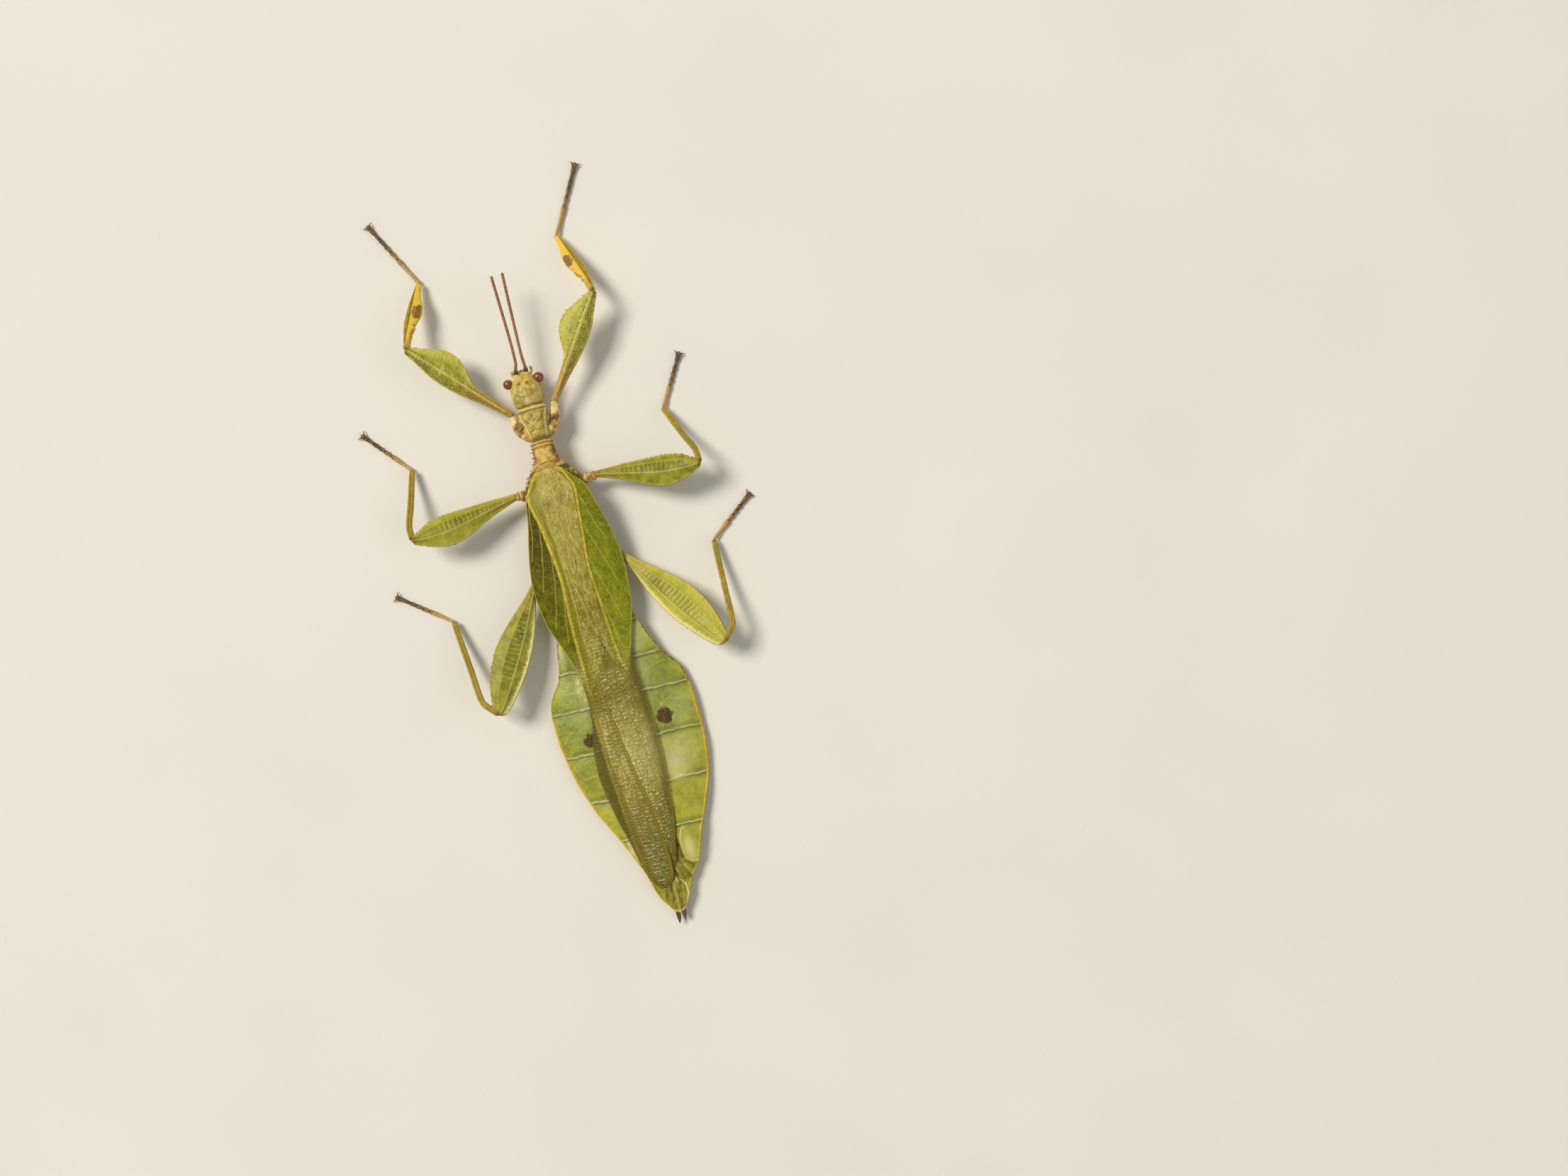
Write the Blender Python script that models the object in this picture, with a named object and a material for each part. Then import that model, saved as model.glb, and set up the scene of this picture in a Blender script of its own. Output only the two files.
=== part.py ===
"""A male leaf insect at life size, standing on a level floor with its wings folded."""

import bisect
import math

import bmesh
import bpy
from mathutils import Matrix, Vector

# Lengths are in millimetres. A station is a distance behind the eyes along the body's axis,
# and the floor is at Z = 0. Limbs and wings are drawn with X outwards, as on the right side,
# and the left ones are turned over. Every line of (place, value) pairs is read smoothly.
MM = 0.001
GAP = 0.3
UP = Vector((0, 0, 1))
OUTWARDS = Vector((1, 0, 0))

# The eyes' place, with the middle of the whole insect over the origin
AXIS_X = 0.15
EYES_Y = 21.16

# Upper surface of the body, on which the folded wings lie
BACK_TOP = (
    (7.4, 3.9), (12.5, 3.9), (17, 3.5), (24, 3.1), (32, 2.6), (42, 2.1), (52, 1.8), (60, 1.6),
    (66, 1.3),
)
BACK_DROOP = ((10, 0.05), (24, 0.04), (32, 0.03), (42, 0.0146), (66, 0.0146))

# Trunk sections, rounder than a square and fuller than a circle
TRUNK_SIDES = 14
SQUARENESS = 2.3

# Head
HEAD_STATIONS = (-1.0, -0.75, -0.35, 0.1, 0.6, 1.2, 1.8, 2.4, 2.8, 3.0)
HEAD_WIDTH = ((-1.0, 0.6), (-0.6, 1.1), (0, 1.45), (1, 1.84), (2, 1.8), (2.6, 1.66), (3, 1.3))
HEAD_TOP = ((-1.0, 3.3), (-0.4, 3.9), (0.2, 4.2), (1.2, 4.5), (2.2, 4.45), (3, 3.9))
HEAD_LOW = ((-1.0, 2.5), (-0.4, 2.0), (0.5, 1.75), (2, 1.9), (3, 2.3))
EYE_RADIUS = 0.64
EYE_PLACE = Vector((1.8, 0, 3.35))
OCELLI = ((-0.5, -0.35), (0.5, -0.35), (0, 0.2))
OCELLUS_RADIUS = 0.27
OCELLUS_SINK = 0.12
SOCKET = Vector((0.62, 0.35, 3.15)), Vector((0.62, 0.95, 3.15))
SOCKET_RADIUS = 0.36
MOUTH = ((0, 0.3, 2.35), (0, 1.0, 2.15), (0, 1.45, 1.95))
MOUTH_RADIUS = ((0, 0.75), (0.6, 0.62), (1, 0.4))
PALP = Vector((0.55, 0.5, 2.2)), Vector((1.0, 1.05, 2.2)), Vector((1.15, 1.55, 2.35))
PALP_RADIUS = ((0, 0.3), (1, 0.25))

# Feelers, from the socket to the blunt tip, with a thick first joint and then beads
ANTENNA_RADIUS = 0.26
SCAPE_RADIUS = 0.32
SCAPE_SHARE = 0.06
ANTENNA_BEAD = 0.05
ANTENNA_ROWS = 26
ANTENNA_SIDES = 6
ANTENNA_LEFT = ((0.67, 1.28, 3.3), (0.3, 2.3, 3.45), (0.1, 5, 3.8), (0, 12.5, 4.7))
ANTENNA_RIGHT = ((0.72, 1.28, 3.3), (0.66, 2.5, 3.45), (0.83, 5.7, 3.8), (1.33, 12.5, 4.7))

# Prothorax, with a raised rim and a groove at its front
PROTHORAX_STATIONS = (3.3, 3.45, 3.65, 4.0, 4.7, 5.5, 6.3, 6.9, 7.1)
PROTHORAX_WIDTH = ((3.3, 1.5), (3.5, 1.66), (4, 1.6), (6.3, 1.12), (7.1, 0.98))
PROTHORAX_TOP = ((3.3, 3.95), (3.45, 4.2), (3.65, 4.0), (4.5, 4.2), (6.5, 4.25), (7.1, 3.95))
PROTHORAX_LOW = ((3.3, 2.2), (7.1, 2.1))

# Mesothorax, with two collar rings, a narrow waist, and flanks that spread under the wings
MESOTHORAX_STATIONS = (
    7.4, 7.52, 7.7, 7.95, 8.15, 8.8, 9.5, 9.95, 10.1, 10.5, 11.1, 11.7, 12.3, 12.9, 14, 15.5, 16.9,
)
MESOTHORAX_WIDTH = (
    (7.4, 1.2), (8.2, 1.25), (9.2, 1.3), (10, 1.6), (11.1, 2.35), (12.4, 3.3), (14, 3.35), (17, 3.15),
)
MESOTHORAX_LOW = ((7.4, 2.1), (10, 1.9), (12.5, 1.4), (17, 1.2))
COLLARS = (7.52, 7.95)
COLLAR_REACH = 0.2
COLLAR_RISE = 0.18
SPINE_STATIONS = (8.0, 8.45, 9.0, 9.5, 9.95, 10.5, 11.2)
SPINE_LENGTHS = (0.45, 0.3, 0.5, 0.35, 0.55, 0.4, 0.5)
SPINE_ROOT = 0.35
SPINE_HEIGHT = 2.9
SPINE_LEAN = Vector((0, 0.18, 0.1))
SPINE_RADIUS = ((0, 0.25), (0.4, 0.2), (1, 0.04))

# Metathorax
METATHORAX_STATIONS = (17.2, 18.5, 20, 22, 23.2, 24.0)
METATHORAX_WIDTH = ((17.2, 3.1), (20, 3.2), (22, 3.2), (24, 3.0))
METATHORAX_LOW = ((17.2, 1.2), (24, 1.1))

# Abdomen, a thick middle between two thin leaf-like lobes
ABDOMEN_LEFT = (
    (24.3, 3.0), (27, 3.9), (30.7, 5.1), (34.7, 6.1), (37.5, 7.9), (39.5, 8.3), (41.5, 8.3),
    (45.5, 7.9), (50.5, 6.6), (55, 4.6), (59.8, 2.75), (62.2, 1.95), (64.2, 1.05), (65, 0.85),
)
ABDOMEN_RIGHT = (
    (24.3, 3.0), (27, 3.9), (31, 5.1), (34.5, 6.4), (37.8, 8.4), (41, 8.8), (45, 8.75),
    (49.8, 8.0), (53.5, 6.6), (57, 5.0), (59.9, 3.9), (61, 3.0), (63.5, 1.7), (65, 0.9),
)
ABDOMEN_END = 65
SEGMENT_BORDERS = (30.2, 34.55, 38.95, 44.3, 50.05, 55.3, 59.3, 62.4)
BORDER_REACH = 0.3
BORDER_RISE = 0.12
BORDER_POINT = 0.12
BELLY = ((24.3, 1.1), (30, 0.6), (36, 0.04), (38, 0), (52, 0), (56, 0.15), (60, 0.4), (65, 0.7))
BELLY_WIDTH = 2.2
LOBE_THICK = 0.6
LOBE_SHARES = (0.35, 0.68)
RIM_WIDTH = 0.35
ROW_STEP = 1.7

# Tail feelers
CERCUS = Vector((0.45, -65.3, 1.0)), Vector((0.4, -66.6, 0.9))
CERCUS_RADIUS = ((0, 0.26), (0.5, 0.29), (1, 0.12))

# Wings. A line lengthwise on a wing is (share of the way across, height of its vein).
WING_THICK = 0.5
WING_ROWS = 25
VEIN_RISE = 0.12
VEIN_REACH = 0.35
VEIN_REACH_SHARE = 0.4
MIDLINE = 0.15
HIND_WING_LIFT = GAP + BORDER_RISE
FOREWING_LIFT = HIND_WING_LIFT + WING_THICK + VEIN_RISE + GAP
INNER_LINES = ((0.55, VEIN_RISE),)
OUTER_LINES = ((0.3, VEIN_RISE), (0.5, 0), (0.72, VEIN_RISE), (1, 0))
FOREWING_RIDGE = 0.25
FOREWING_RISE = ((10.9, 0.35), (13, 0.55), (16.5, FOREWING_LIFT), (38, FOREWING_LIFT))
FOREWING_SLOPE = 0.03
FOREWING_LEFT = {
    "inner": ((10.9, MIDLINE), (32, MIDLINE), (35, 0.5), (36.8, 1.3), (38, 2.5)),
    "outer": (
        (10.9, 2.3), (13.8, 3.45), (16.4, 4.1), (18.7, 4.8), (22.2, 5.7), (24, 5.9), (28, 5.55),
        (31.8, 4.4), (38, 3.1),
    ),
    "vein": ((10.9, 1.8), (13.6, 3.1), (14.9, 3.0), (19.1, 2.4), (23.6, 2.1), (28, 2.4), (38, 2.8)),
}
FOREWING_RIGHT = {
    "inner": ((10.9, MIDLINE), (31, MIDLINE), (34, 0.5), (35.8, 1.3), (36.8, 2.1)),
    "outer": (
        (10.9, 1.5), (12.2, 3.1), (13.6, 3.8), (15.8, 4.3), (20.4, 5.2), (23, 5.4), (28, 4.9),
        (33, 3.4), (36.8, 2.7),
    ),
    "vein": ((10.9, 1.1), (13.6, 2.45), (15, 2.4), (19.1, 1.9), (23.6, 1.45), (33, 1.5), (36.8, 2.4)),
}
HIND_WING_LEFT = {
    "inner": ((17.4, MIDLINE), (52, MIDLINE), (58, 0.7), (60.3, 1.1)),
    "outer": (
        (17.4, 1.5), (19, 2.6), (24, 3.2), (38, 3.4), (44, 4.4), (47, 4.8), (53, 4.8), (57, 3.6),
        (60.3, 2.2),
    ),
    "vein": ((17.4, 1.0), (24, 2.4), (38, 2.7), (45, 3.2), (50, 2.8), (60.3, 1.9)),
}
HIND_WING_RIGHT = {
    "inner": ((17.4, MIDLINE), (62, MIDLINE)),
    "outer": (
        (17.4, 1.5), (19, 2.6), (24, 3.2), (37, 3.3), (45, 3.6), (50, 3.3), (56, 2.6), (60, 1.5),
        (62, 0.7),
    ),
    "vein": ((17.4, 1.0), (24, 2.0), (45, 2.2), (56, 1.5), (62, 0.4)),
}

# Legs. Joints are the hip end of the coxa, the hip, the knee, the ankle and the toe.
JOINTS = {
    ("front", "left"): (
        (1.45, -6.3, 2.75), (2.45, -3.5, 2.8), (11.95, 7.1, 4.4), (8.9, 15.0, 0.75), (12.75, 22.9, 0),
    ),
    ("front", "right"): (
        (1.45, -6.3, 2.75), (2.75, -3.3, 2.8), (10.9, 7.6, 4.4), (8.3, 15.9, 0.75), (12.6, 23.2, 0),
    ),
    ("middle", "left"): (
        (3.7, -12.9, 2.5), (4.7, -12.75, 2.7), (17.4, -14.4, 4.8), (15.95, -6.1, 0.75), (20.3, -0.75, 0),
    ),
    ("middle", "right"): (
        (3.7, -12.9, 2.5), (5.1, -12.8, 2.7), (17.25, -15.0, 4.8), (14.75, -7.3, 0.75), (18.15, -1.9, 0),
    ),
    ("hind", "left"): (
        (3.55, -21.6, 1.9), (5.3, -22.9, 1.8), (13.5, -36.7, 4.2), (16.25, -24.75, 0.75), (21.7, -20.3, 0),
    ),
    ("hind", "right"): (
        (3.55, -21.6, 1.9), (5.1, -22.5, 1.8), (14.15, -35.9, 4.2), (16.15, -24.0, 0.75), (21.4, -20.2, 0),
    ),
}
COXA_MIDDLE = {"front": (2.3, -5.3, 2.7), "middle": None, "hind": None}
COXA_RADIUS = ((0, 0.5), (0.4, 0.6), (0.8, 0.5), (1, 0.42))
COXA_SIDES = 8
COXA_ROWS = 5

# Widths of a thigh and a shin in front of and behind the line from joint to joint
FEMUR_FRONT = {
    "front": (
        (0, 0.42), (0.28, 0.55), (0.4, 0.72), (0.47, 1.3), (0.54, 1.95), (0.61, 2.38), (0.67, 2.5),
        (0.74, 2.3), (0.84, 1.6), (0.92, 0.95), (1, 0.42),
    ),
    "middle": (
        (0, 0.4), (0.1, 0.55), (0.3, 0.9), (0.5, 1.15), (0.7, 1.32), (0.82, 1.15), (0.92, 0.65),
        (1, 0.4),
    ),
    "hind": (
        (0, 0.4), (0.11, 0.7), (0.34, 1.8), (0.46, 2.3), (0.56, 2.5), (0.65, 2.45), (0.8, 1.98),
        (0.95, 1.0), (1, 0.45),
    ),
}
FEMUR_REAR = {
    "front": ((0, 0.36), (0.2, 0.6), (0.4, 1.05), (0.6, 1.32), (0.7, 1.25), (0.82, 0.9), (1, 0.42)),
    "middle": (
        (0, 0.36), (0.12, 0.65), (0.33, 1.3), (0.5, 2.0), (0.66, 2.35), (0.83, 1.75), (0.92, 1.1),
        (1, 0.5),
    ),
    "hind": (
        (0, 0.36), (0.12, 0.5), (0.25, 1.0), (0.4, 1.5), (0.6, 1.77), (0.8, 1.5), (0.95, 1.0), (1, 0.5),
    ),
}
FEMUR_THICK = ((0, 0.8), (0.3, 1.0), (0.7, 1.1), (1, 0.95))
FEMUR_RIDGES = {"front": 0.2, "middle": 0.36, "hind": 0.36}
LIMB_EDGE = 0.5
LIMB_KEEL = 0.85
FEMUR_GROOVE = 0.25
PLAIN_ROWS = 7
TOOTHED_FROM = 0.5
TOOTHED_ROWS = 16
TOOTH = 0.16
TIBIA_FRONT = {
    "front": (
        (0, 0.42), (0.2, 0.46), (0.38, 0.75), (0.55, 1.1), (0.67, 1.0), (0.78, 0.62), (0.9, 0.42),
        (1, 0.36),
    ),
    "middle": ((0, 0.4), (0.5, 0.44), (0.9, 0.42), (1, 0.36)),
    "hind": ((0, 0.45), (0.2, 0.42), (0.9, 0.42), (1, 0.36)),
}
TIBIA_REAR = {
    "front": ((0, 0.42), (0.15, 0.6), (0.37, 0.92), (0.6, 0.85), (0.8, 0.62), (1, 0.36)),
    "middle": ((0, 0.42), (0.5, 0.44), (0.9, 0.42), (1, 0.36)),
    "hind": ((0, 0.45), (0.2, 0.42), (0.9, 0.42), (1, 0.36)),
}
TIBIA_THICK = ((0, 0.95), (0.3, 0.8), (1, 0.72))
TIBIA_RIDGES = 0.45
TIBIA_ROWS = 12
TIBIA_BEND = 0.17
TIBIA_BOW = {"front": 0.05, "middle": 0.35, "hind": 1.2}
TIBIA_HALFWAY_BOW = 0.6
MITRE_REACH = 2.2

# Feet, of five joints that each widen to a pad on the floor
TARSUS_JOINTS = (0, 0.45, 0.58, 0.7, 0.81, 1)
TARSUS_WAIST = 0.26
TARSUS_FLARE = 0.36
TARSUS_LIFT = ((0, 0.42), (0.12, 0.22), (0.3, 0.02), (0.4, 0))
WAIST_LIFT = 0.1
WAIST_START = 0.012
PAD_LENGTH = 0.28
PAD_OUTLINE = ((1, 1.1), (0.6, 2), (-0.6, 2), (-1, 1.1), (-0.9, 0.4), (-0.5, 0), (0.5, 0), (0.9, 0.4))
TOE_PAD = (0.42, 0.46, 0.34)
TOE_PAD_REACH = 0.35
TOE_PAD_HEIGHT = 0.26

# A claw's line and radius, as ways forwards, outwards and upwards from the toe
CLAW = ((-0.15, 0.1, 0.36), (0.43, 0.36, 0.48), (0.76, 0.8, 0.1))
CLAW_RADIUS = ((0, 0.25), (0.5, 0.19), (1, 0.05))

COLOURS = {
    "head_green": ((160, 160, 80), 0.4),
    "eye_brown": ((110, 45, 20), 0.12),
    "antenna_brown": ((110, 70, 30), 0.35),
    "thorax_tan": ((165, 155, 75), 0.45),
    "abdomen_green": ((140, 155, 70), 0.4),
    "wing_green": ((110, 140, 15), 0.45),
    "membrane_grey": ((150, 155, 95), 0.25),
    "thigh_green": ((150, 170, 50), 0.45),
    "shin_yellow": ((175, 155, 50), 0.45),
    "foot_brown": ((125, 90, 50), 0.4),
}


def srgb(level):
    """A colour level from 0 to 255 as Blender's linear value."""
    share = level / 255
    return share / 12.92 if share <= 0.04045 else ((share + 0.055) / 1.055) ** 2.4


def material(name):
    """The named finish, made once."""
    if name in bpy.data.materials:
        return bpy.data.materials[name]
    colour, roughness = COLOURS[name]
    made = bpy.data.materials.new(name)
    made.use_nodes = True
    shader = made.node_tree.nodes["Principled BSDF"]
    shader.inputs["Base Color"].default_value = [srgb(level) for level in colour] + [1]
    shader.inputs["Roughness"].default_value = roughness
    shader.inputs["Metallic"].default_value = 0
    return made


def slope(keys, i):
    """The slope of a smooth line at its key i, level at a peak so that it never overshoots."""
    before, after = (
        (keys[j + 1][1] - keys[j][1]) / (keys[j + 1][0] - keys[j][0])
        for j in (max(i - 1, 0), min(i, len(keys) - 2))
    )
    return 2 * before * after / (before + after) if before * after > 0 else 0.0


def smooth(keys, place):
    """The value at a place on the smooth line through keys, which are (place, value) pairs."""
    place = min(max(place, keys[0][0]), keys[-1][0])
    i = min(bisect.bisect_right([key[0] for key in keys], place), len(keys) - 1) - 1
    (start, low), (end, high) = keys[i], keys[i + 1]
    width = end - start
    t = (place - start) / width
    rise = t * t * (3 - 2 * t)
    return (
        low + (high - low) * rise
        + width * t * (1 - t) ** 2 * slope(keys, i)
        - width * t * t * (1 - t) * slope(keys, i + 1)
    )


def spread(start, end, count):
    """Count values from start to end, evenly spaced."""
    return [start + (end - start) * i / (count - 1) for i in range(count)]


class Route:
    """A smooth line through points in space, read by the share of its length."""

    def __init__(self, points):
        points = [Vector(point) for point in points]
        lengths = [0.0]
        for start, end in zip(points, points[1:]):
            lengths.append(lengths[-1] + (end - start).length)
        self.length = lengths[-1]
        self.keys = [
            [(length / self.length, point[axis]) for length, point in zip(lengths, points)]
            for axis in range(3)
        ]

    def at(self, share):
        return Vector([smooth(keys, share) for keys in self.keys])

    def heading(self, share):
        step = 0.01
        return (self.at(min(share + step, 1)) - self.at(max(share - step, 0))).normalized()


def lofted(rings):
    """A closed body through rings of points, with flat ends."""
    shape = bmesh.new()
    rows = [[shape.verts.new(point) for point in ring] for ring in rings]
    for row, after in zip(rows, rows[1:]):
        for i in range(len(row)):
            j = (i + 1) % len(row)
            shape.faces.new((row[i], row[j], after[j], after[i]))
    shape.faces.new(rows[0])
    shape.faces.new(rows[-1])
    bmesh.ops.recalc_face_normals(shape, faces=shape.faces)
    return shape


def slab(lower, upper):
    """A closed sheet between two grids of points, split into triangles alike on both faces."""
    shape = bmesh.new()
    grids = [[[shape.verts.new(point) for point in row] for row in grid] for grid in (lower, upper)]
    last_row, last = len(lower) - 1, len(lower[0]) - 1
    for grid in grids:
        for i in range(last_row):
            for j in range(last):
                shape.faces.new((grid[i][j], grid[i][j + 1], grid[i + 1][j + 1]))
                shape.faces.new((grid[i][j], grid[i + 1][j + 1], grid[i + 1][j]))
    rim = [(0, j) for j in range(last)] + [(i, last) for i in range(last_row)]
    rim += [(last_row, j) for j in range(last, 0, -1)] + [(i, 0) for i in range(last_row, 0, -1)]
    below, above = grids
    for (i, j), (k, m) in zip(rim, rim[1:] + rim[:1]):
        shape.faces.new((below[i][j], below[k][m], above[k][m], above[i][j]))
    bmesh.ops.recalc_face_normals(shape, faces=shape.faces)
    return shape


def tube(points, radius, sides, rows):
    """A closed round tube along a smooth line, with its radius read by the share of its length."""
    route = Route(points)
    rings = []
    for share in spread(0, 1, rows):
        heading = route.heading(share)
        side = UP.cross(heading).normalized()
        rise = heading.cross(side)
        size = smooth(radius, share)
        angles = spread(0, math.tau, sides + 1)[:-1]
        rings.append([route.at(share) + (side * math.cos(a) + rise * math.sin(a)) * size for a in angles])
    return lofted(rings)


def ball(centre, radii, around, rows):
    """A closed ball, or an egg with different radii along X, Y and Z."""
    shape = bmesh.new()
    place = Matrix.Translation(centre) @ Matrix.Diagonal((*radii, 1))
    bmesh.ops.create_uvsphere(shape, u_segments=around, v_segments=rows, radius=1, matrix=place)
    return shape


def as_object(name, shape):
    mesh = bpy.data.meshes.new(name)
    shape.to_mesh(mesh)
    shape.free()
    return bpy.data.objects.new(name, mesh)


def combine(body, shapes, operation):
    """Apply one Boolean of all the shapes to a body, and keep its largest closed surface."""
    group = bpy.data.collections.new("shapes")
    bpy.context.scene.collection.children.link(group)
    for shape in shapes:
        group.objects.link(as_object("shape", shape))
    modifier = body.modifiers.new(operation.lower(), "BOOLEAN")
    modifier.operation = operation
    modifier.solver = "EXACT"
    modifier.operand_type = "COLLECTION"
    modifier.collection = group
    made = body.evaluated_get(bpy.context.evaluated_depsgraph_get())
    body.data = bpy.data.meshes.new_from_object(made)
    body.modifiers.clear()
    for obj in list(group.objects):
        bpy.data.objects.remove(obj)
    bpy.data.collections.remove(group)
    keep_largest(body.data)


def keep_largest(mesh):
    """Remove every loose surface but the one with the most volume."""
    shape = bmesh.new()
    shape.from_mesh(mesh)
    left = set(shape.faces)
    surfaces = []
    while left:
        found = [left.pop()]
        for face in found:
            for edge in face.edges:
                for other in edge.link_faces:
                    if other in left:
                        left.remove(other)
                        found.append(other)
        surfaces.append(found)
    surfaces.sort(key=lambda faces: -volume(faces))
    loose = [face for faces in surfaces[1:] for face in faces]
    bmesh.ops.delete(shape, geom=loose, context="FACES")
    shape.to_mesh(mesh)
    shape.free()


def volume(faces):
    """The volume inside a closed surface."""
    total = 0
    for face in faces:
        corners = [vertex.co for vertex in face.verts]
        for b, c in zip(corners[1:], corners[2:]):
            total += corners[0].dot(b.cross(c)) / 6
    return total


def add_node(name, shape, colour, side=1, joined=(), cut=()):
    """Make one piece of the insect in metres, with shapes joined to it or cut from it."""
    node = as_object(name, shape)
    bpy.context.scene.collection.objects.link(node)
    if joined:
        combine(node, joined, "UNION")
    if cut:
        combine(node, cut, "DIFFERENCE")
    node.data.transform(Matrix.Diagonal((side * MM, MM, MM, 1)))
    if side < 0:
        node.data.flip_normals()
    node.data.shade_smooth()
    node.data.set_sharp_from_angle(angle=math.radians(40))
    node.data.materials.clear()
    node.data.materials.append(material(colour))
    node.parent = insect
    return node


def back_height(x, station):
    """The height of the body's upper surface."""
    return smooth(BACK_TOP, station) - smooth(BACK_DROOP, station) * x * x


def hump(place, centre, reach):
    """A rounded hump of height 1 at its centre, down to 0 at its reach."""
    share = min(abs(place - centre) / reach, 1)
    return (1 + math.cos(math.pi * share)) / 2


def trunk(stations, width, low, top):
    """A rounded body part along the axis, from its width and its lowest and highest lines."""
    rings = []
    for station in stations:
        half, bottom, height = width(station), low(station), top(station)
        ring = []
        for i in range(TRUNK_SIDES):
            angle = math.tau * (i + 0.5) / TRUNK_SIDES
            x, z = math.cos(angle), math.sin(angle)
            stretch = (abs(x) ** SQUARENESS + abs(z) ** SQUARENESS) ** (-1 / SQUARENESS)
            rise = (height - bottom) / 2 * (1 + z * stretch)
            ring.append((half * x * stretch, -station, bottom + rise))
        rings.append(ring)
    return lofted(rings)


def line(keys):
    """A smooth line as a function of its place."""
    return lambda place: smooth(keys, place)


def make_head():
    """The skull with its mouth, simple eyes, feeler sockets and palps, hollowed for the eyes."""
    skull = trunk(HEAD_STATIONS, line(HEAD_WIDTH), line(HEAD_LOW), line(HEAD_TOP))
    joined = [tube(MOUTH, MOUTH_RADIUS, 8, 4)]
    cut = []
    for x, y in OCELLI:
        height = smooth(HEAD_TOP, -y) - OCELLUS_SINK
        joined.append(ball((x, y, height), [OCELLUS_RADIUS] * 3, 8, 5))
    for side in (-1, 1):
        mirror = Matrix.Diagonal((side, 1, 1))
        socket = [mirror @ point for point in SOCKET]
        palp = [mirror @ point for point in PALP]
        joined.append(tube(socket, ((0, SOCKET_RADIUS), (1, SOCKET_RADIUS)), 8, 2))
        joined.append(tube(palp, PALP_RADIUS, 6, 4))
        cut.append(ball(mirror @ EYE_PLACE, [EYE_RADIUS + GAP] * 3, 16, 10))
    add_node("head", skull, "head_green", 1, joined, cut)


def make_eyes():
    for name, side in (("eye_left", -1), ("eye_right", 1)):
        add_node(name, ball(EYE_PLACE, [EYE_RADIUS] * 3, 12, 8), "eye_brown", side)


def antenna(points):
    """A beaded feeler whose first joint is the thickest, and whose beads fade towards the tip."""
    radius = [(0, SCAPE_RADIUS), (SCAPE_SHARE, SCAPE_RADIUS)]
    for i, share in enumerate(spread(1.5 * SCAPE_SHARE, 1, ANTENNA_ROWS - 2)):
        bead = ANTENNA_BEAD * (1 - share) * (i % 2)
        radius.append((share, ANTENNA_RADIUS + bead))
    return tube(points, radius, ANTENNA_SIDES, ANTENNA_ROWS)


def make_antennae():
    add_node("antenna_left", antenna(ANTENNA_LEFT), "antenna_brown", -1)
    add_node("antenna_right", antenna(ANTENNA_RIGHT), "antenna_brown", 1)


def make_prothorax():
    shape = trunk(
        PROTHORAX_STATIONS, line(PROTHORAX_WIDTH), line(PROTHORAX_LOW), line(PROTHORAX_TOP)
    )
    add_node("prothorax", shape, "head_green")


def collar(station):
    """How far the two collar rings stand out at one station."""
    return COLLAR_RISE * max(hump(station, centre, COLLAR_REACH) for centre in COLLARS)


def spine(station, length, side):
    """A short spine on the flank, pointing out and a little forwards."""
    flank = smooth(MESOTHORAX_WIDTH, station)
    root = Vector((side * (flank - SPINE_ROOT), -station, SPINE_HEIGHT))
    tip = Vector((side * (flank + length), -station, SPINE_HEIGHT)) + SPINE_LEAN
    return tube((root, tip), SPINE_RADIUS, 5, 3)


def make_thorax():
    shape = trunk(
        MESOTHORAX_STATIONS,
        lambda station: smooth(MESOTHORAX_WIDTH, station) + collar(station),
        line(MESOTHORAX_LOW),
        lambda station: smooth(BACK_TOP, station) + collar(station),
    )
    spines = [
        spine(station, length, side)
        for side in (-1, 1)
        for station, length in zip(SPINE_STATIONS, SPINE_LENGTHS)
    ]
    add_node("mesothorax", shape, "thorax_tan", 1, spines)
    shape = trunk(METATHORAX_STATIONS, line(METATHORAX_WIDTH), line(METATHORAX_LOW), line(BACK_TOP))
    add_node("metathorax", shape, "thorax_tan")


def abdomen_rows():
    """Stations of the abdomen with the height of the ridge there, three rows to each border."""
    rows = [(ABDOMEN_LEFT[0][0], 0)]
    for border in SEGMENT_BORDERS:
        start = rows[-1][0]
        length = border - BORDER_REACH - start
        steps = max(round(length / ROW_STEP), 1)
        rows += [(start + length * i / steps, 0) for i in range(1, steps)]
        rows += [(border - BORDER_REACH, 0), (border, BORDER_RISE), (border + BORDER_REACH, 0)]
    middle = (rows[-1][0] + ABDOMEN_END) / 2
    return rows + [(middle, 0), (ABDOMEN_END, 0)]


def abdomen_row(station, rise):
    """The lower and upper points across the abdomen at one station."""
    halves = {}
    for side, keys in ((-1, ABDOMEN_LEFT), (1, ABDOMEN_RIGHT)):
        edge = smooth(keys, station) + BORDER_POINT * (rise > 0)
        core = min(BELLY_WIDTH, edge / 2)
        rim = min(RIM_WIDTH, edge / 6)
        lobe = [core + (edge - core) * share for share in LOBE_SHARES]
        halves[side] = [core / 2, core] + lobe + [edge - rim, edge]
    belly = smooth(BELLY, station)
    lower, upper = [], []
    columns = [(-1, x) for x in reversed(halves[-1])] + [(1, 0)] + [(1, x) for x in halves[1]]
    for side, x in columns:
        core, edge = halves[side][1], halves[side][-1]
        top = back_height(x, station)
        edge_low = max(back_height(edge, station) - LOBE_THICK, belly)
        out = max(x - core, 0) / (edge - core)
        upper.append((side * x, -station, top + rise * (x < edge)))
        lower.append((side * x, -station, belly + (edge_low - belly) * out))
    return lower, upper


def make_abdomen():
    rows = [abdomen_row(station, rise) for station, rise in abdomen_rows()]
    shape = slab([lower for lower, upper in rows], [upper for lower, upper in rows])
    add_node("abdomen", shape, "abdomen_green")


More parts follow.
